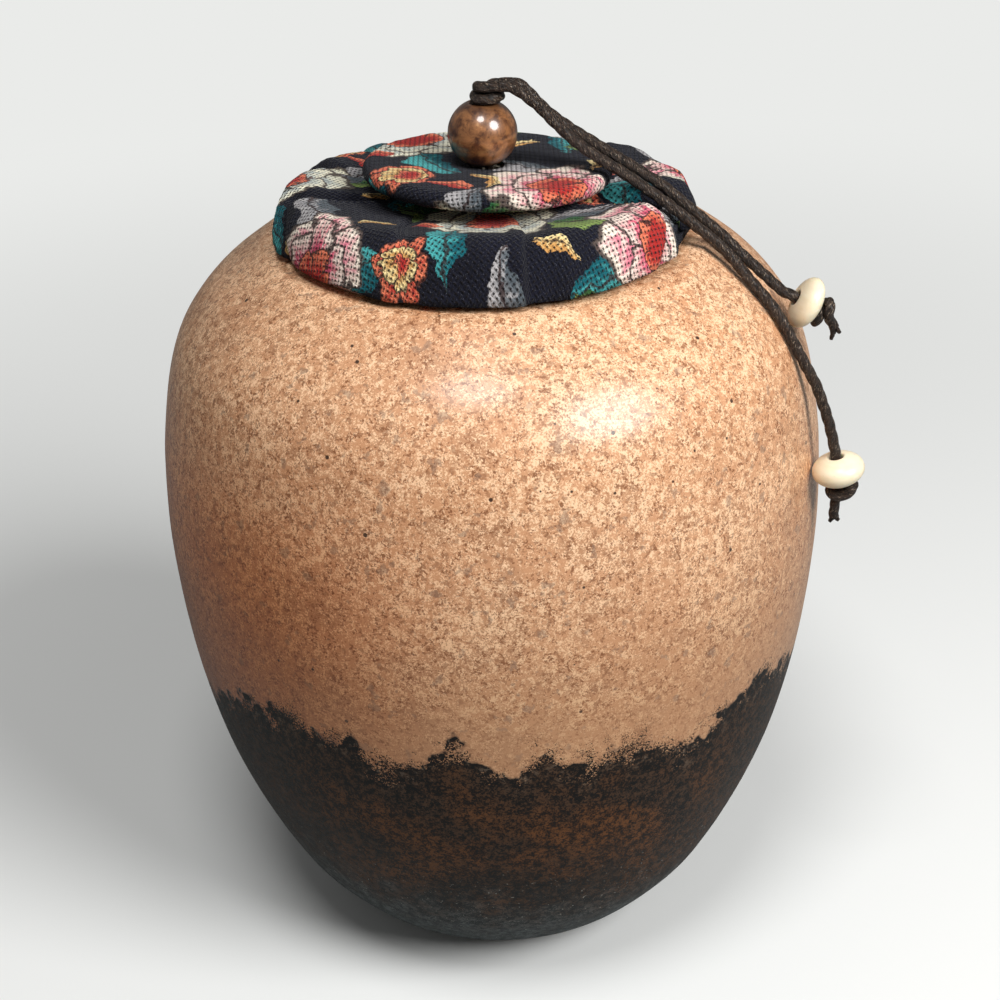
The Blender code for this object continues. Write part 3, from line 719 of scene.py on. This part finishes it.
def own_place(s, flat, centre, turn):
    """Coordinates about a motif's own centre in the cloth's repeat, turned with the motif."""
    away = s.vector("SUBTRACT", flat, (*centre, 0.0))
    half, back = (PRINT_REPEAT / 2,) * 3, (-PRINT_REPEAT / 2,) * 3
    inputs = {"Vector": s.vector("WRAP", away, half, back), "Angle": math.radians(-turn)}
    return s.node("ShaderNodeVectorRotate", inputs, rotation_type="Z_AXIS").outputs[0]


def flower(s, color, flat, centre, size, turn, rings):
    """The colour with a flower over it: rings of streaked petals, drawn round in brown."""
    own = own_place(s, flat, centre, turn)
    x, y, _ = s.split(own)
    reach, angle = s.length(own), s.math("ARCTAN2", y, x)
    rays = s.noise(s.scaled(s.vector("NORMALIZE", own), 4.2), 1.0, 3.0, 0.7)
    for (count, share), tints in zip(PETAL_RINGS, rings):
        lobe = abs(s.math("COSINE", angle * (count / 2) + count * share))
        rim = s.math("POWER", lobe, 0.5) * (0.26 * share * size) + 0.74 * share * size
        away = reach / rim
        petal = s.between(s.ramp(rays * 1.3 + away, 1.15, 1.60), *tints)
        parting = s.ramp(lobe, 0.24, 0.10) * s.ramp(away, 0.40, 0.65)
        drawn = s.math("MAXIMUM", s.ramp(away, 0.90, 0.96), parting)
        petal = s.mix(drawn * 0.92, petal, linear(PRINT_LINE))
        color = s.mix(s.ramp(away, 1.03, 0.98), color, petal)
    return color


def leaf(s, color, flat, centre, length, width, turn, tints):
    """The colour with a pointed leaf over it, with a midrib and slanting veins."""
    x, y, _ = s.split(own_place(s, flat, centre, turn))
    y = x * x * (0.28 / length) + y
    across, along = abs(y), x / length
    half = (1.0 - along * along) * width
    share = across / s.math("MAXIMUM", half, 0.01)
    inside = s.ramp(share, 1.06, 0.94) * s.ramp(abs(along), 1.0, 0.98)
    veins = s.ramp(s.math("SINE", (x - across) * (math.tau / (0.38 * length))), 0.45, 0.95)
    tint = s.between(s.ramp(veins * (0.5 * width) + y, -0.5 * width, 0.7 * width), *tints)
    tint = s.cover(tint, PRINT_LINE, across, 0.13 * width, 0.05 * width, 0.85)
    return s.mix(inside, color, tint)


def print_material():
    """Coarse cotton with an open weave and a scattered print of flowers and leaves on navy."""
    s = Shader("printed_cotton")
    flat = s.flat()
    inked = s.vector("ADD", flat, s.drift(flat, 9.0, 0.12, 2.0))
    inked = s.vector("ADD", inked, s.drift(flat, 2.2, 0.6, 3.0, 0.7))
    color = s.between(s.noise(flat, 0.16), (13, 13, 21), (25, 27, 42))
    for centre, turn, tints in LEAVES:
        color = leaf(s, color, inked, centre, *LEAF_SIZE, turn, tints)
    for centre, size, turn, rings in FLOWERS:
        color = flower(s, color, inked, centre, size, turn, rings)
    for centre, turn, tints in BUDS:
        color = leaf(s, color, inked, centre, *BUD_SIZE, turn, tints)
    color = s.cover(color, (140, 142, 154), s.noise(flat, 3.6, 3.0, 0.75), 0.58, 0.68, 0.32)

    height, hole = weave(s, flat, 0.84)
    fibre = s.noise(flat, 5.0, 2.0, 0.7)
    color = s.cover(color, (0, 0, 0), fibre, 0.3, 0.75, 0.22)
    # painted shade: the weave's holes made near-black
    color = s.mix(hole * 0.9, color, linear((26, 21, 24)))
    # painted shade on the low parts of the threads, between the raised ones
    color = s.cover(color, (24, 22, 28), height, 0.8, 0.3, 0.22)
    return s.finish(
        Base_Color=color,
        Roughness=0.9,
        Sheen_Weight=0.06,
        Sheen_Roughness=0.5,
        Specular_IOR_Level=0.12,
        Normal=s.bump(fibre * 0.35 + height - hole * 0.8, 0.00024, 0.9),
    )


def plain_cloth_material():
    """Plain dark cotton of the stopper's cup."""
    s = Shader("plain_cotton")
    flat = s.flat()
    height, hole = weave(s, flat, 0.6)
    color = s.between(s.noise(flat, 0.12), (26, 27, 40), (44, 45, 60))
    # painted shade: the weave's holes made near-black
    color = s.mix(hole * 0.7, color, linear((10, 10, 14)))
    normal = s.bump(s.noise(flat, 4.0) * 0.4 + height, 0.0002, 0.8)
    return s.finish(
        Base_Color=color, Roughness=0.9, Sheen_Weight=0.3, Specular_IOR_Level=0.2, Normal=normal
    )


def wood_material():
    """Polished burl: brown clouds and dark pores under varnish, darker towards its ends."""
    s = Shader("burl_wood")
    place = s.place()
    cloud = s.noise(place, 0.36, 5.0, 0.65, 0.6)
    pores = s.noise(place, 1.7, 4.0, 0.7)
    color = s.between(s.ramp(cloud, 0.34, 0.62), (70, 38, 22), (152, 102, 62))
    color = s.cover(color, (196, 148, 98), cloud, 0.58, 0.72, 0.6)
    color = s.cover(color, (38, 18, 12), pores, 0.56, 0.68, 0.65)
    _, _, z = s.split(place)
    color = s.cover(color, (34, 18, 14), abs(z - KNOB_MIDDLE), *KNOB_ENDS, 0.6)
    return s.finish(
        Base_Color=color,
        Roughness=0.34,
        Coat_Weight=0.9,
        Coat_Roughness=0.09,
        Normal=s.bump(pores, 0.00004, 0.4),
    )


def cord_material():
    """Waxed cotton cord: near-black brown strands, streaked along with paler fibres and pale specks of
    painted highlight on the wax.
    """
    s = Shader("waxed_cord")
    flat = s.flat()
    streak = s.noise(s.vector("MULTIPLY", flat, (0.9, 4.5, 1.0)), 1.0, 4.0, 0.7)
    fibres = s.noise(s.place(), 4.5, 3.0, 0.7)
    painted_glint = s.noise(s.vector("MULTIPLY", flat, (1.1, 3.0, 1.0)), 1.2, 3.0, 0.75)
    color = s.between(s.ramp(streak, 0.44, 0.62), (12, 9, 8), (72, 55, 45))
    color = s.cover(color, (116, 90, 70), fibres, 0.55, 0.67, 0.5)
    # painted highlights: pale specks that stand in for glints on the wax
    color = s.cover(color, (196, 174, 150), painted_glint, 0.59, 0.65, 0.8)
    return s.finish(
        Base_Color=color,
        Roughness=0.42,
        Specular_IOR_Level=0.35,
        Coat_Weight=0.12,
        Coat_Roughness=0.25,
        Normal=s.bump(streak * 1.6 + fibres * 0.8, 0.0003, 1.0),
    )


def ivory_material():
    """Ivory-coloured bead: cream with faint growth bands and a soft shine."""
    s = Shader("ivory_bead")
    place = s.place()
    bands = s.noise(s.vector("MULTIPLY", place, (0.5, 0.5, 2.2)), 0.5)
    dust = s.noise(place, 2.6)
    color = s.between(bands, (232, 214, 178), (250, 240, 214))
    return s.finish(
        Base_Color=s.cover(color, (206, 182, 140), dust, 0.6, 0.75, 0.3),
        Roughness=0.32,
        Subsurface_Weight=0.15,
        Subsurface_Radius=(0.002, 0.0014, 0.0008),
        Subsurface_Scale=1.0,
        Normal=s.bump(dust, 0.00003, 0.3),
    )


def cork_material():
    s = Shader("cork_grain")
    place = s.place()
    grain, _ = s.cells(place, 1.1)
    color = s.between(s.noise(place, 0.5, 4.0), (150, 104, 66), (204, 160, 112))
    color = s.cover(color, (92, 58, 36), grain, 0.25, 0.05, 0.7)
    return s.finish(Base_Color=color, Roughness=0.85, Normal=s.bump(grain, 0.0003, 0.6))


def board_material():
    s = Shader("grey_board")
    fibres = s.noise(s.vector("MULTIPLY", s.place(), (1.0, 0.35, 1.0)), 1.4, 4.0, 0.7)
    color = s.between(fibres, (150, 142, 126), (196, 188, 170))
    return s.finish(Base_Color=color, Roughness=0.9, Normal=s.bump(fibres, 0.0001, 0.6))


def steel_material():
    s = Shader("plain_steel")
    x, y, _ = s.split(s.place())
    brushed = s.noise(s.join(s.length(s.join(x, y)) * 9.0, 0.0), 1.0)
    color = s.between(brushed, (170, 171, 174), (206, 207, 210))
    rough = s.ramp(brushed, 0.3, 0.7, 0.22, 0.42)
    return s.finish(Base_Color=color, Roughness=rough, Metallic=1.0, Normal=s.bump(brushed, 0.00003, 0.4))


MATERIALS = {
    "glaze": glaze_material(),
    "print_cloth": print_material(),
    "plain_cloth": plain_cloth_material(),
    "wood": wood_material(),
    "cord": cord_material(),
    "ivory": ivory_material(),
    "cork": cork_material(),
    "board": board_material(),
    "steel": steel_material(),
}


def dress(obj, slot, body, *nodes):
    """Gives a piece its material and body, and has it stand for CAD nodes."""
    obj.data.materials.clear()
    obj.data.materials.append(MATERIALS[slot])
    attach(obj, body)
    if nodes:
        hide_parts(*nodes)
    return obj


# Camera, lights and floor


def make_camera():
    data = bpy.data.cameras.new("camera")
    data.lens = CAMERA_LENS
    data.sensor_width = CAMERA_SENSOR
    data.shift_x = CAMERA_SHIFT
    data.clip_start = CAMERA_CLIP
    camera = add_object("camera", data)
    down = Matrix.Rotation(math.radians(90 - CAMERA_DOWN), 4, "X")
    lean = Matrix.Rotation(math.radians(-CAMERA_LEAN), 4, "Z")
    camera.matrix_world = Matrix.Translation(CAMERA_PLACE) @ down @ lean
    bpy.context.scene.camera = camera


def make_lights():
    centre = (CAD_BOX[0] + CAD_BOX[1]) / 2
    for name, (azimuth, elevation, distance, width, power) in LIGHTS.items():
        data = bpy.data.lights.new(name, "AREA")
        data.shape = "DISK"
        data.size = width
        data.energy = power
        lamp = add_object(name, data)
        a, e = math.radians(azimuth), math.radians(elevation)
        away = Vector((math.sin(a) * math.cos(e), -math.cos(a) * math.cos(e), math.sin(e)))
        lamp.location = centre + away * distance
        lamp.rotation_euler = away.to_track_quat("Z", "Y").to_euler()


def make_world():
    """Even light from all round, with a pale background where the camera sees past the floor."""
    world = bpy.data.worlds.new("studio")
    w = Nodes(world)
    w.tree.nodes.clear()
    straight = w.node("ShaderNodeLightPath").outputs["Is Camera Ray"]
    even = w.node("ShaderNodeBackground", {"Strength": WORLD_STRENGTH}).outputs[0]
    seen = w.node("ShaderNodeBackground", {"Color": linear(BACKGROUND_COLOR)}).outputs[0]
    mixed = w.node("ShaderNodeMixShader", {0: straight, 1: even, 2: seen})
    w.node("ShaderNodeOutputWorld", {"Surface": mixed.outputs[0]})
    bpy.context.scene.world = world


def make_floor():
    """A floor that looks pale and keeps the jar's shadow, but throws back little light on the glaze."""
    half = FLOOR_WIDTH / 2
    corners = [(-half, -half, 0), (half, -half, 0), (half, half, 0), (-half, half, 0)]
    floor = add_mesh("floor", corners, [(0, 1, 2, 3)])
    s = Shader("pale_floor")
    seen = s.node("ShaderNodeLightPath").outputs["Is Camera Ray"]
    s.finish(Base_Color=s.mix(seen, linear(FLOOR_SHADE), linear(FLOOR_COLOR)), Roughness=0.9)
    reach = s.length(s.node("ShaderNodeNewGeometry").outputs["Position"])
    far = s.ramp(reach, *FLOOR_FADE) * seen
    plain = s.node("ShaderNodeEmission", {"Color": linear(BACKGROUND_COLOR), "Strength": 1.0})
    mixed = s.node("ShaderNodeMixShader", {0: far, 1: s.surface.outputs[0], 2: plain.outputs[0]})
    s.put(s.tree.nodes["Material Output"].inputs["Surface"], mixed.outputs[0])
    floor.data.materials.append(s.material)


# Cord


def rope(name, points, diameter, normal=None, lay=CORD_LAY, taper=None):
    """A laid cord swept along points: its round strands turn once about it in each lay."""
    line = evened(points, CORD_STEP)
    along = travelled(line)
    places = []
    for index, place in enumerate(line):
        ahead = (line[min(index + 1, len(line) - 1)] - line[max(index - 1, 0)]).normalized()
        normal = Vector(normal or ahead.orthogonal())
        normal = (normal - ahead * normal.dot(ahead)).normalized()
        side = ahead.cross(normal)
        radius = diameter / 2 * (taper(index / (len(line) - 1)) if taper else 1)
        for ring in range(CORD_RINGS):
            angle = math.tau * ring / CORD_RINGS
            reach = radius * strand_reach(angle)
            turned = angle + math.tau * along[index] / lay
            places.append(place + (normal * math.cos(turned) + side * math.sin(turned)) * reach)
    faces = [face[::-1] for face in grid_faces(len(line), CORD_RINGS, False)]
    last = (len(line) - 1) * CORD_RINGS
    faces.append(tuple(reversed(range(CORD_RINGS))))
    faces.append(tuple(last + ring for ring in range(CORD_RINGS)))
    cord = add_mesh(name, places, faces)
    layer = cord.data.uv_layers.new(name="flat")
    for face in cord.data.polygons:
        rings = [cord.data.loops[loop].vertex_index % CORD_RINGS for loop in face.loop_indices]
        for loop, ring in zip(face.loop_indices, rings):
            row = cord.data.loops[loop].vertex_index // CORD_RINGS
            around = CORD_RINGS if ring == 0 and max(rings) == CORD_RINGS - 1 else ring
            layer.data[loop].uv = (along[row], math.pi * diameter * around / CORD_RINGS)
    return cord, line


def strand_reach(angle):
    """How far out a cord's round strands reach at an angle, as a share of its radius."""
    each = math.tau / CORD_STRANDS
    away = (angle + each / 2) % each - each / 2
    middle = 1 - STRAND_SHARE
    return middle * math.cos(away) + math.sqrt(STRAND_SHARE**2 - (middle * math.sin(away)) ** 2)


def joined(name, objects):
    """One object from several, with their materials."""
    with bpy.context.temp_override(active_object=objects[0], selected_editable_objects=objects):
        bpy.ops.object.join()
    objects[0].name = name
    return objects[0]


def bead_frame(place, axis):
    turn = UP.rotation_difference(Vector(axis)).to_matrix().to_4x4()
    return Matrix.Translation(place) @ turn


def make_tail(name, node, start, route, bead, axis, length, bead_piece, knot):
    """A free tail: off the knob, along its route in millimetres, through its bead to the knot."""
    direction = Vector(axis).normalized()
    entry = Vector(bead) - direction * (length + CORD) / 2
    leaving = Vector(bead) + direction * length / 2
    shown = [Vector(place) * MILLIMETRE for place in route]
    points = smooth_route([start, *shown, entry, Vector(bead), leaving], CORD_STEP)
    tail, line = rope(name, points, CORD, UP)
    dress(tail, "cord", "lid", node)


def make_knot(name, node, place, axis, length, knot, frays):
    """An overhand knot drawn up against the bead, its cut end parted into strands."""
    direction = Vector(axis).normalized()
    viewer = Vector((0, -1, 0))
    viewer = (viewer - direction * viewer.dot(direction)).normalized()
    turn = Matrix((viewer.cross(direction), viewer, direction)).transposed().to_4x4()
    matrix = Matrix.Translation(Vector(place) + direction * length / 2) @ turn
    matrix @= Matrix.Scale(MILLIMETRE, 4)
    points = [Vector(point) for point in knot]
    tied, _ = rope(name, smooth_route([matrix @ point for point in points], CORD_STEP), KNOT_CORD)
    pieces = [tied]
    ahead = (points[-1] - points[-2]).normalized()
    for number, (across, near, beyond) in enumerate(frays):
        out = Vector((across, near, 0))
        root = points[-1] - ahead * FRAY_BACK + out.normalized() * FRAY_OUT
        bend = root + ahead * (FRAY_BACK + beyond * FRAY_BEND[0]) + out * FRAY_BEND[1]
        path = [root, bend, root + ahead * (FRAY_BACK + beyond) + out]
        route = smooth_route([matrix @ point for point in path], CORD_STEP)
        fray, _ = rope(f"{name}_{number}", route, FRAY_CORD, lay=FRAY_LAY, taper=frayed)
        pieces.append(fray)
    return dress(joined(name, pieces), "cord", "lid", node)


def frayed(share):
    """A cut strand's thickness from its root to its tip."""
    return 1 - FRAY_THINS * share**3


def wrap_point(turns_done):
    """A point of the winding: a level turn, then a tighter one on it that widens out to the tail."""
    angle = math.pi + math.tau * turns_done
    marks = (0, 0.5, 1.0, WRAP_TURNS)
    radius = np.interp(turns_done, marks, (WRAP_RADIUS, WRAP_RADIUS, WRAP_TIGHT, -LONG_START[1]))
    heights = [WRAP_LOW + climb for climb in WRAP_CLIMBS] + [LONG_START[2]]
    height = np.interp(turns_done, marks, heights)
    return Vector((STRAND_OFFSET + radius * math.cos(angle), radius * math.sin(angle), height))


def make_wrap():
    """The winding and the strands that rise through the lid into it, each built from its tail's start."""
    wrap_start = KNOB_TOP - HELD_CORD
    rise = [Vector((-STRAND_OFFSET, 0, wrap_start)), Vector((-STRAND_OFFSET, 0, KNOB_TOP))]
    for step in range(round(WRAP_FROM * WRAP_POINTS), round(WRAP_TURNS * WRAP_POINTS) + 1):
        rise.append(wrap_point(step / WRAP_POINTS))
    rise.append(Vector(LONG_START))
    wrap, _ = rope("knob_winding", smooth_route(rise[::-1], CORD_STEP), WOUND_CORD, UP)
    dress(wrap, "cord", "lid", "knob_wrap")
    low = [Vector((-STRAND_OFFSET, 0, RISER_LOW)), Vector((-STRAND_OFFSET, 0, wrap_start - CORD_GAP))]
    riser, _ = rope("long_riser", low, HELD_CORD)
    dress(riser, "cord", "lid", "riser_strand_long")
    bend_low = OVER_HIGH - OVER_BEND
    over = [Vector((STRAND_OFFSET, 0, RISER_LOW)), Vector((STRAND_OFFSET, 0, bend_low))]
    centre = (STRAND_OFFSET + OVER_BEND, bend_low)
    for across, height in arc(centre, (OVER_BEND, OVER_BEND), 180, 90, 8)[1:]:
        over.append(Vector((across, 0, height)))
    over.append(Vector(SHORT_START))
    riser, _ = rope("short_riser", smooth_route(over[::-1], CORD_STEP), HELD_CORD, UP, taper=thinner_below)
    dress(riser, "cord", "lid", "riser_strand_short")


def thinner_below(share):
    """The short strand's thickness from its tail's start down into the knob, where it is pulled thin."""
    shown = WOUND_CORD / HELD_CORD
    return shown + (1 - shown) * min(max((share - THINS_FROM) / THINS_OVER, 0), 1)


# Jar and beads


def whole_section(node, spacing):
    """The outline of a turned piece that closes on its axis, with points one spacing apart."""
    outline = section(node, Matrix.Identity(4))
    return finer([(0, outline[0][1])] + outline + [(0, outline[-1][1])], spacing)


def make_jar():
    jar = revolved("glazed_jar", whole_section("jar_body", JAR_STEP), JAR_STEPS, False)
    dress(jar, "glaze", "jar", "jar_body")


def make_bead(name, node, slot, body, matrix, steps, spacing):
    outline = section(node, matrix)
    bead = revolved(name, finer(outline + outline[:1], spacing)[:-1], steps, True, matrix)
    return dress(bead, slot, body, node)


# Cushion, button and stopper cloth


def crease_angle(pleat, share):
    """Where a crease lies at a share of the cloth's way out, in degrees from +X."""
    return np.interp(share, PLEAT_LEVEL_SHARES, pleat[:3])


def fold_depth(angle, share):
    """How far the creases draw the cloth in at an angle; each drops steeply from a small roll."""
    depth = 0
    for pleat in PLEATS:
        away = (angle - crease_angle(pleat, share) + 180) % 360 - 180
        if 0 < away < PLEAT_SLOPE:
            back = max(away - PLEAT_STEP, 0) / (PLEAT_SLOPE - PLEAT_STEP)
            depth += PLEAT_DEPTH * pleat[3] * min(away / PLEAT_STEP, 1) * (1 - back) ** PLEAT_FALL
        elif -PLEAT_ROLL < away <= 0:
            roll = math.sin(math.pi * -away / PLEAT_ROLL) * PLEAT_ROLL_SHARE
            depth -= PLEAT_DEPTH * pleat[3] * roll
    away = abs((angle - GROOVE_ANGLE + 180) % 360 - 180) / GROOVE_HALF_WIDTH
    if away < 1:
        depth = max(depth, GROOVE_DEPTH * (1 + math.cos(math.pi * away)) / 2)
    return depth


def cushion_line():
    """The cover's outer line, from the hole under the button over the rim to the hem on the lip."""
    crown = CUSHION_WIDEST + CUSHION_RIM_RISE
    middle = crown - CUSHION_DIP
    ring = CUSHION_RADIUS - CUSHION_RIM_WIDTH
    line = [(CUSHION_HOLE, middle), (SHELF_RADIUS, middle)]
    line.append(((SHELF_RADIUS + ring) / 2, middle + CUSHION_DIP / 2))
    line += arc((ring, CUSHION_WIDEST), (CUSHION_RIM_WIDTH, CUSHION_RIM_RISE), 90, 0, 4)
    line += arc((ring, CUSHION_WIDEST), (CUSHION_RIM_WIDTH, CUSHION_RIM_DROP), 0, -45, 1)[1:]
    return line + [(LIP_RADIUS, HEM_LOW), (HEM_RADIUS, HEM_LOW)]


def rumple(side, rise, scales, away=0):
    """A smooth number about zero, from how often it changes round a piece and along its rise."""
    return noise.noise(Vector((side.x * scales[0] + away, side.y * scales[0], rise * scales[1])))


def wrinkle(side, radius, height):
    """The rim's broad wrinkles, with finer ones across them, about zero."""
    return rumple(side, height, WRINKLE_BROAD) + WRINKLE_SHARE * rumple(side, radius, WRINKLE_FINE, 5)


def make_cushion():
    """The gathered printed cushion: creased, swollen by a cloth simulation, and closed round the board."""
    coarse = cushion_line()
    along = travelled(coarse)
    line = finer(coarse, CUSHION_STEP, SOFT_CORNER)
    run = travelled(line)
    reach = np.interp(run * along[-1] / run[-1], along, FOLD_REACH_SHARES)
    ends = [line[0], *line, line[-1]]
    outward = []
    for before, after in zip(ends, ends[2:]):
        outward.append(Vector((before[1] - after[1], after[0] - before[0])).normalized())
    crown = CUSHION_WIDEST + CUSHION_RIM_RISE
    lean = math.tan(math.radians(CUSHION_LEAN))
    inside = [(HEM_RADIUS, HEM_LOW + CLOTH), (BOARD_EDGE, HEM_LOW + CLOTH), (BOARD_EDGE, PAD_LOW)]
    inside += [(SHELF_RADIUS, PAD_LOW), (CUSHION_HOLE, PAD_LOW)]
    rows = len(line) + len(inside)
    places = np.zeros((rows, CUSHION_STEPS, 3))
    pinned = np.ones((rows, CUSHION_STEPS), bool)
    for step in range(CUSHION_STEPS):
        angle = math.tau * step / CUSHION_STEPS
        side = Vector((math.cos(angle), math.sin(angle), 0))
        for row, ((radius, height), normal, share) in enumerate(zip(line, outward, reach)):
            fold = fold_depth(math.degrees(angle), run[row] / run[-1])
            pinned[row, step] = share < PINNED_SHARE or fold > PINNED_DEPTH
            inset = fold * share - WRINKLE * wrinkle(side, radius, height) * min(share, 1)
            rise = max(height - HEM_LOW, 0) / (crown - HEM_LOW)
            place = side * (radius - normal.x * inset)
            place.z = height - normal.y * inset - place.y * lean * rise
            places[row, step] = place
        for row, (radius, height) in enumerate(inside):
            places[len(line) + row, step] = (*(side * radius).xy, height)
    faces = [face[::-1] for face in grid_faces(rows, CUSHION_STEPS, True)]
    cushion = add_mesh("printed_cushion", places.reshape(-1, 3), faces)
    swell(cushion, pinned.reshape(-1))
    lay_flat(cushion, run, len(line), rows)
    dress(cushion, "print_cloth", "lid", "cushion_cover", "cushion_padding")


def swell(obj, pinned):
    """Blows up the cloth between its pinned creases, in a cloth simulation that runs at a larger size."""
    mesh = obj.data
    rest = np.zeros(len(mesh.vertices) * 3)
    mesh.vertices.foreach_get("co", rest)
    rest = rest.reshape(-1, 3)
    centre = rest.mean(axis=0)
    mesh.vertices.foreach_set("co", ((rest - centre) * SWELL_SCALE).ravel())
    group = obj.vertex_groups.new(name="pinned")
    group.add([int(index) for index in np.flatnonzero(pinned)], 1.0, "REPLACE")
    cloth = obj.modifiers.new("cloth", "CLOTH")
    for key, value in SWELL_CLOTH.items():
        setattr(cloth.settings, key, value)
    cloth.settings.vertex_group_mass = group.name
    cloth.settings.effector_weights.gravity = 0
    cloth.collision_settings.use_collision = False
    cloth.collision_settings.use_self_collision = False
    scene = bpy.context.scene
    for number in range(1, SWELL_FRAMES + 1):
        scene.frame_set(number)
    graph = bpy.context.evaluated_depsgraph_get()
    swollen = np.zeros(len(mesh.vertices) * 3)
    obj.evaluated_get(graph).data.vertices.foreach_get("co", swollen)
    moved = swollen.reshape(-1, 3) / SWELL_SCALE + centre - rest
    far = np.linalg.norm(moved, axis=1, keepdims=True)
    moved *= SWELL_CAP / (SWELL_CAP + far)
    obj.modifiers.remove(cloth)
    obj.vertex_groups.clear()
    scene.frame_set(1)
    places = rest + moved
    places[:, 2] = np.maximum(places[:, 2], np.minimum(rest[:, 2], CUSHION_LOWEST))
    mesh.vertices.foreach_set("co", places.ravel())
    mesh.update()


def lay_flat(obj, run, shown, rows):
    """Flat cloth coordinates: the way out along the cloth, and the angle with what each crease takes up."""
    taken = np.zeros((rows, CUSHION_STEPS + 1))
    angles = np.linspace(0, 360, CUSHION_STEPS + 1)
    for row in range(rows):
        share = run[min(row, shown - 1)] / run[-1]
        for pleat in PLEATS:
            crossed = np.clip((angles - crease_angle(pleat, share)) / PLEAT_STEP, 0, 1)
            taken[row] += PLEAT_TAKES * pleat[3] * crossed
    layer = obj.data.uv_layers.new(name="flat")
    for face in obj.data.polygons:
        steps = [obj.data.loops[loop].vertex_index % CUSHION_STEPS for loop in face.loop_indices]
        last = max(steps) - min(steps) > 1
        for loop, step in zip(face.loop_indices, steps):
            row = obj.data.loops[loop].vertex_index // CUSHION_STEPS
            step = CUSHION_STEPS if last and not step else step
            angle = math.radians(angles[step] + taken[row, step])
            reach = CUSHION_HOLE + (run[row] if row < shown else run[-1] + (row - shown) * CUSHION_STEP)
            layer.data[loop].uv = (reach * math.cos(angle), reach * math.sin(angle))


def button_line(inset, spacing):
    """Half the button's section, from the hole on top round the rim to the hole below."""
    half = BUTTON_THICKNESS / 2 - inset
    rim = BUTTON_RADIUS - BUTTON_THICKNESS / 2
    middle = (BUTTON_HOLE + rim) / 2
    line = [(BUTTON_HOLE, half - BUTTON_DIP), (middle, half - BUTTON_DIP / 4)]
    line += arc((rim, 0), (half, half), 90, -90, 6)
    line += [(middle, -half - BUTTON_BELLY / 2), (BUTTON_HOLE, -half - BUTTON_BELLY)]
    return finer(line, spacing, SOFT_CORNER)


def make_button():
    """The cloth drawn over the button, with faint puckers round its rim."""
    back = Matrix.Rotation(math.radians(-BUTTON_LEAN_BACK), 4, "X")
    tilt = back @ Matrix.Rotation(math.radians(BUTTON_LEAN_RIGHT), 4, "Y")
    matrix = Matrix.Translation((BUTTON_ACROSS, 0, BUTTON_HEIGHT)) @ tilt
    outer = button_line(0, BUTTON_STEP)
    line = outer + button_line(CLOTH, BUTTON_STEP * 2)[::-1]
    button = revolved("printed_button", line, BUTTON_STEPS, True)
    run = travelled(outer)
    layer = button.data.uv_layers.new(name="flat")
    for loop in button.data.loops:
        row, step = divmod(loop.vertex_index, BUTTON_STEPS)
        reach = BUTTON_HOLE + (run[row] if row < len(outer) else run[-1])
        angle = math.tau * step / BUTTON_STEPS
        place = Vector((reach * math.cos(angle), reach * math.sin(angle)))
        layer.data[loop.index].uv = place + Vector(BUTTON_PRINT)
    for vertex in button.data.vertices:
        side = vertex.co.xy.normalized()
        radius = vertex.co.xy.length
        edge = 1 - (BUTTON_RADIUS - radius) / (BUTTON_RIM_SHARE * BUTTON_RADIUS)
        edge = max(0.0, min(1.0, edge))
        pucker = rumple(side, vertex.co.z, BUTTON_PUCKERS)
        ripple = rumple(vertex.co, 1, BUTTON_RIPPLES)
        vertex.co.z += BUTTON_RIPPLE * ripple * (1 - edge) + BUTTON_PUCKER[1] * edge * pucker
        vertex.co.xy = side * (radius + BUTTON_PUCKER[0] * edge * pucker)
    button.data.transform(matrix)
    dress(button, "print_cloth", "lid", "button_cover")


def make_stopper_cloth():
    """The cloth cup over the cork, drawn up in small gathers."""
    cup = revolved("stopper_cloth", whole_section("stopper_cloth_cup", CUP_STEP), CUP_STEPS, False)
    low, high = (corner.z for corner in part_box("stopper_cloth_cup"))
    for vertex in cup.data.vertices:
        side = vertex.co.xy
        if side.length > CUP_SIDE:
            turn = side.normalized()
            share = (vertex.co.z - low) / (high - low)
            gather = rumple(turn, share, CUP_GATHERS)
            vertex.co.xy = side - turn * CUP_GATHER * (1 + gather) * share
    layer = cup.data.uv_layers.new(name="flat")
    for loop in cup.data.loops:
        place = cup.data.vertices[loop.vertex_index].co
        reach = place.xy.length + max(place.z - low, 0)
        turn = place.xy.normalized() if place.xy.length else Vector((0, 0))
        layer.data[loop.index].uv = turn * reach
    dress(cup, "plain_cloth", "lid", "stopper_cloth_cup")


make_camera()
make_lights()
make_world()
make_floor()

for tail, (start, route, place, knot, frays) in TAILS.items():
    turned = bead_frame(*place[:2]), BEAD_STEPS, BEAD_STEP
    bead = make_bead(f"{tail}_bead_turned", f"{tail}_tail_bead", "ivory", f"{tail}_bead", *turned)
    tied = make_knot(f"{tail}_knot_tied", f"{tail}_end_knot", *place, knot, frays)
    make_tail(f"{tail}_cord", f"{tail}_tail", start, route, *place, bead, tied)
make_wrap()
make_jar()
make_bead("knob_turned", "knob_bead", "wood", "knob", Matrix.Identity(4), KNOB_STEPS, KNOB_STEP)
make_cushion()
make_button()
make_stopper_cloth()
for node, slot in (
    ("stopper_cork", "cork"),
    ("lid_board", "board"),
    ("button_core", "board"),
    ("cord_washer", "steel"),
    ("cord_anchor_knot", "cord"),
):
    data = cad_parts[node].data
    data.materials.clear()
    data.materials.append(MATERIALS[slot])

bpy.context.scene.view_settings.view_transform = "Standard"
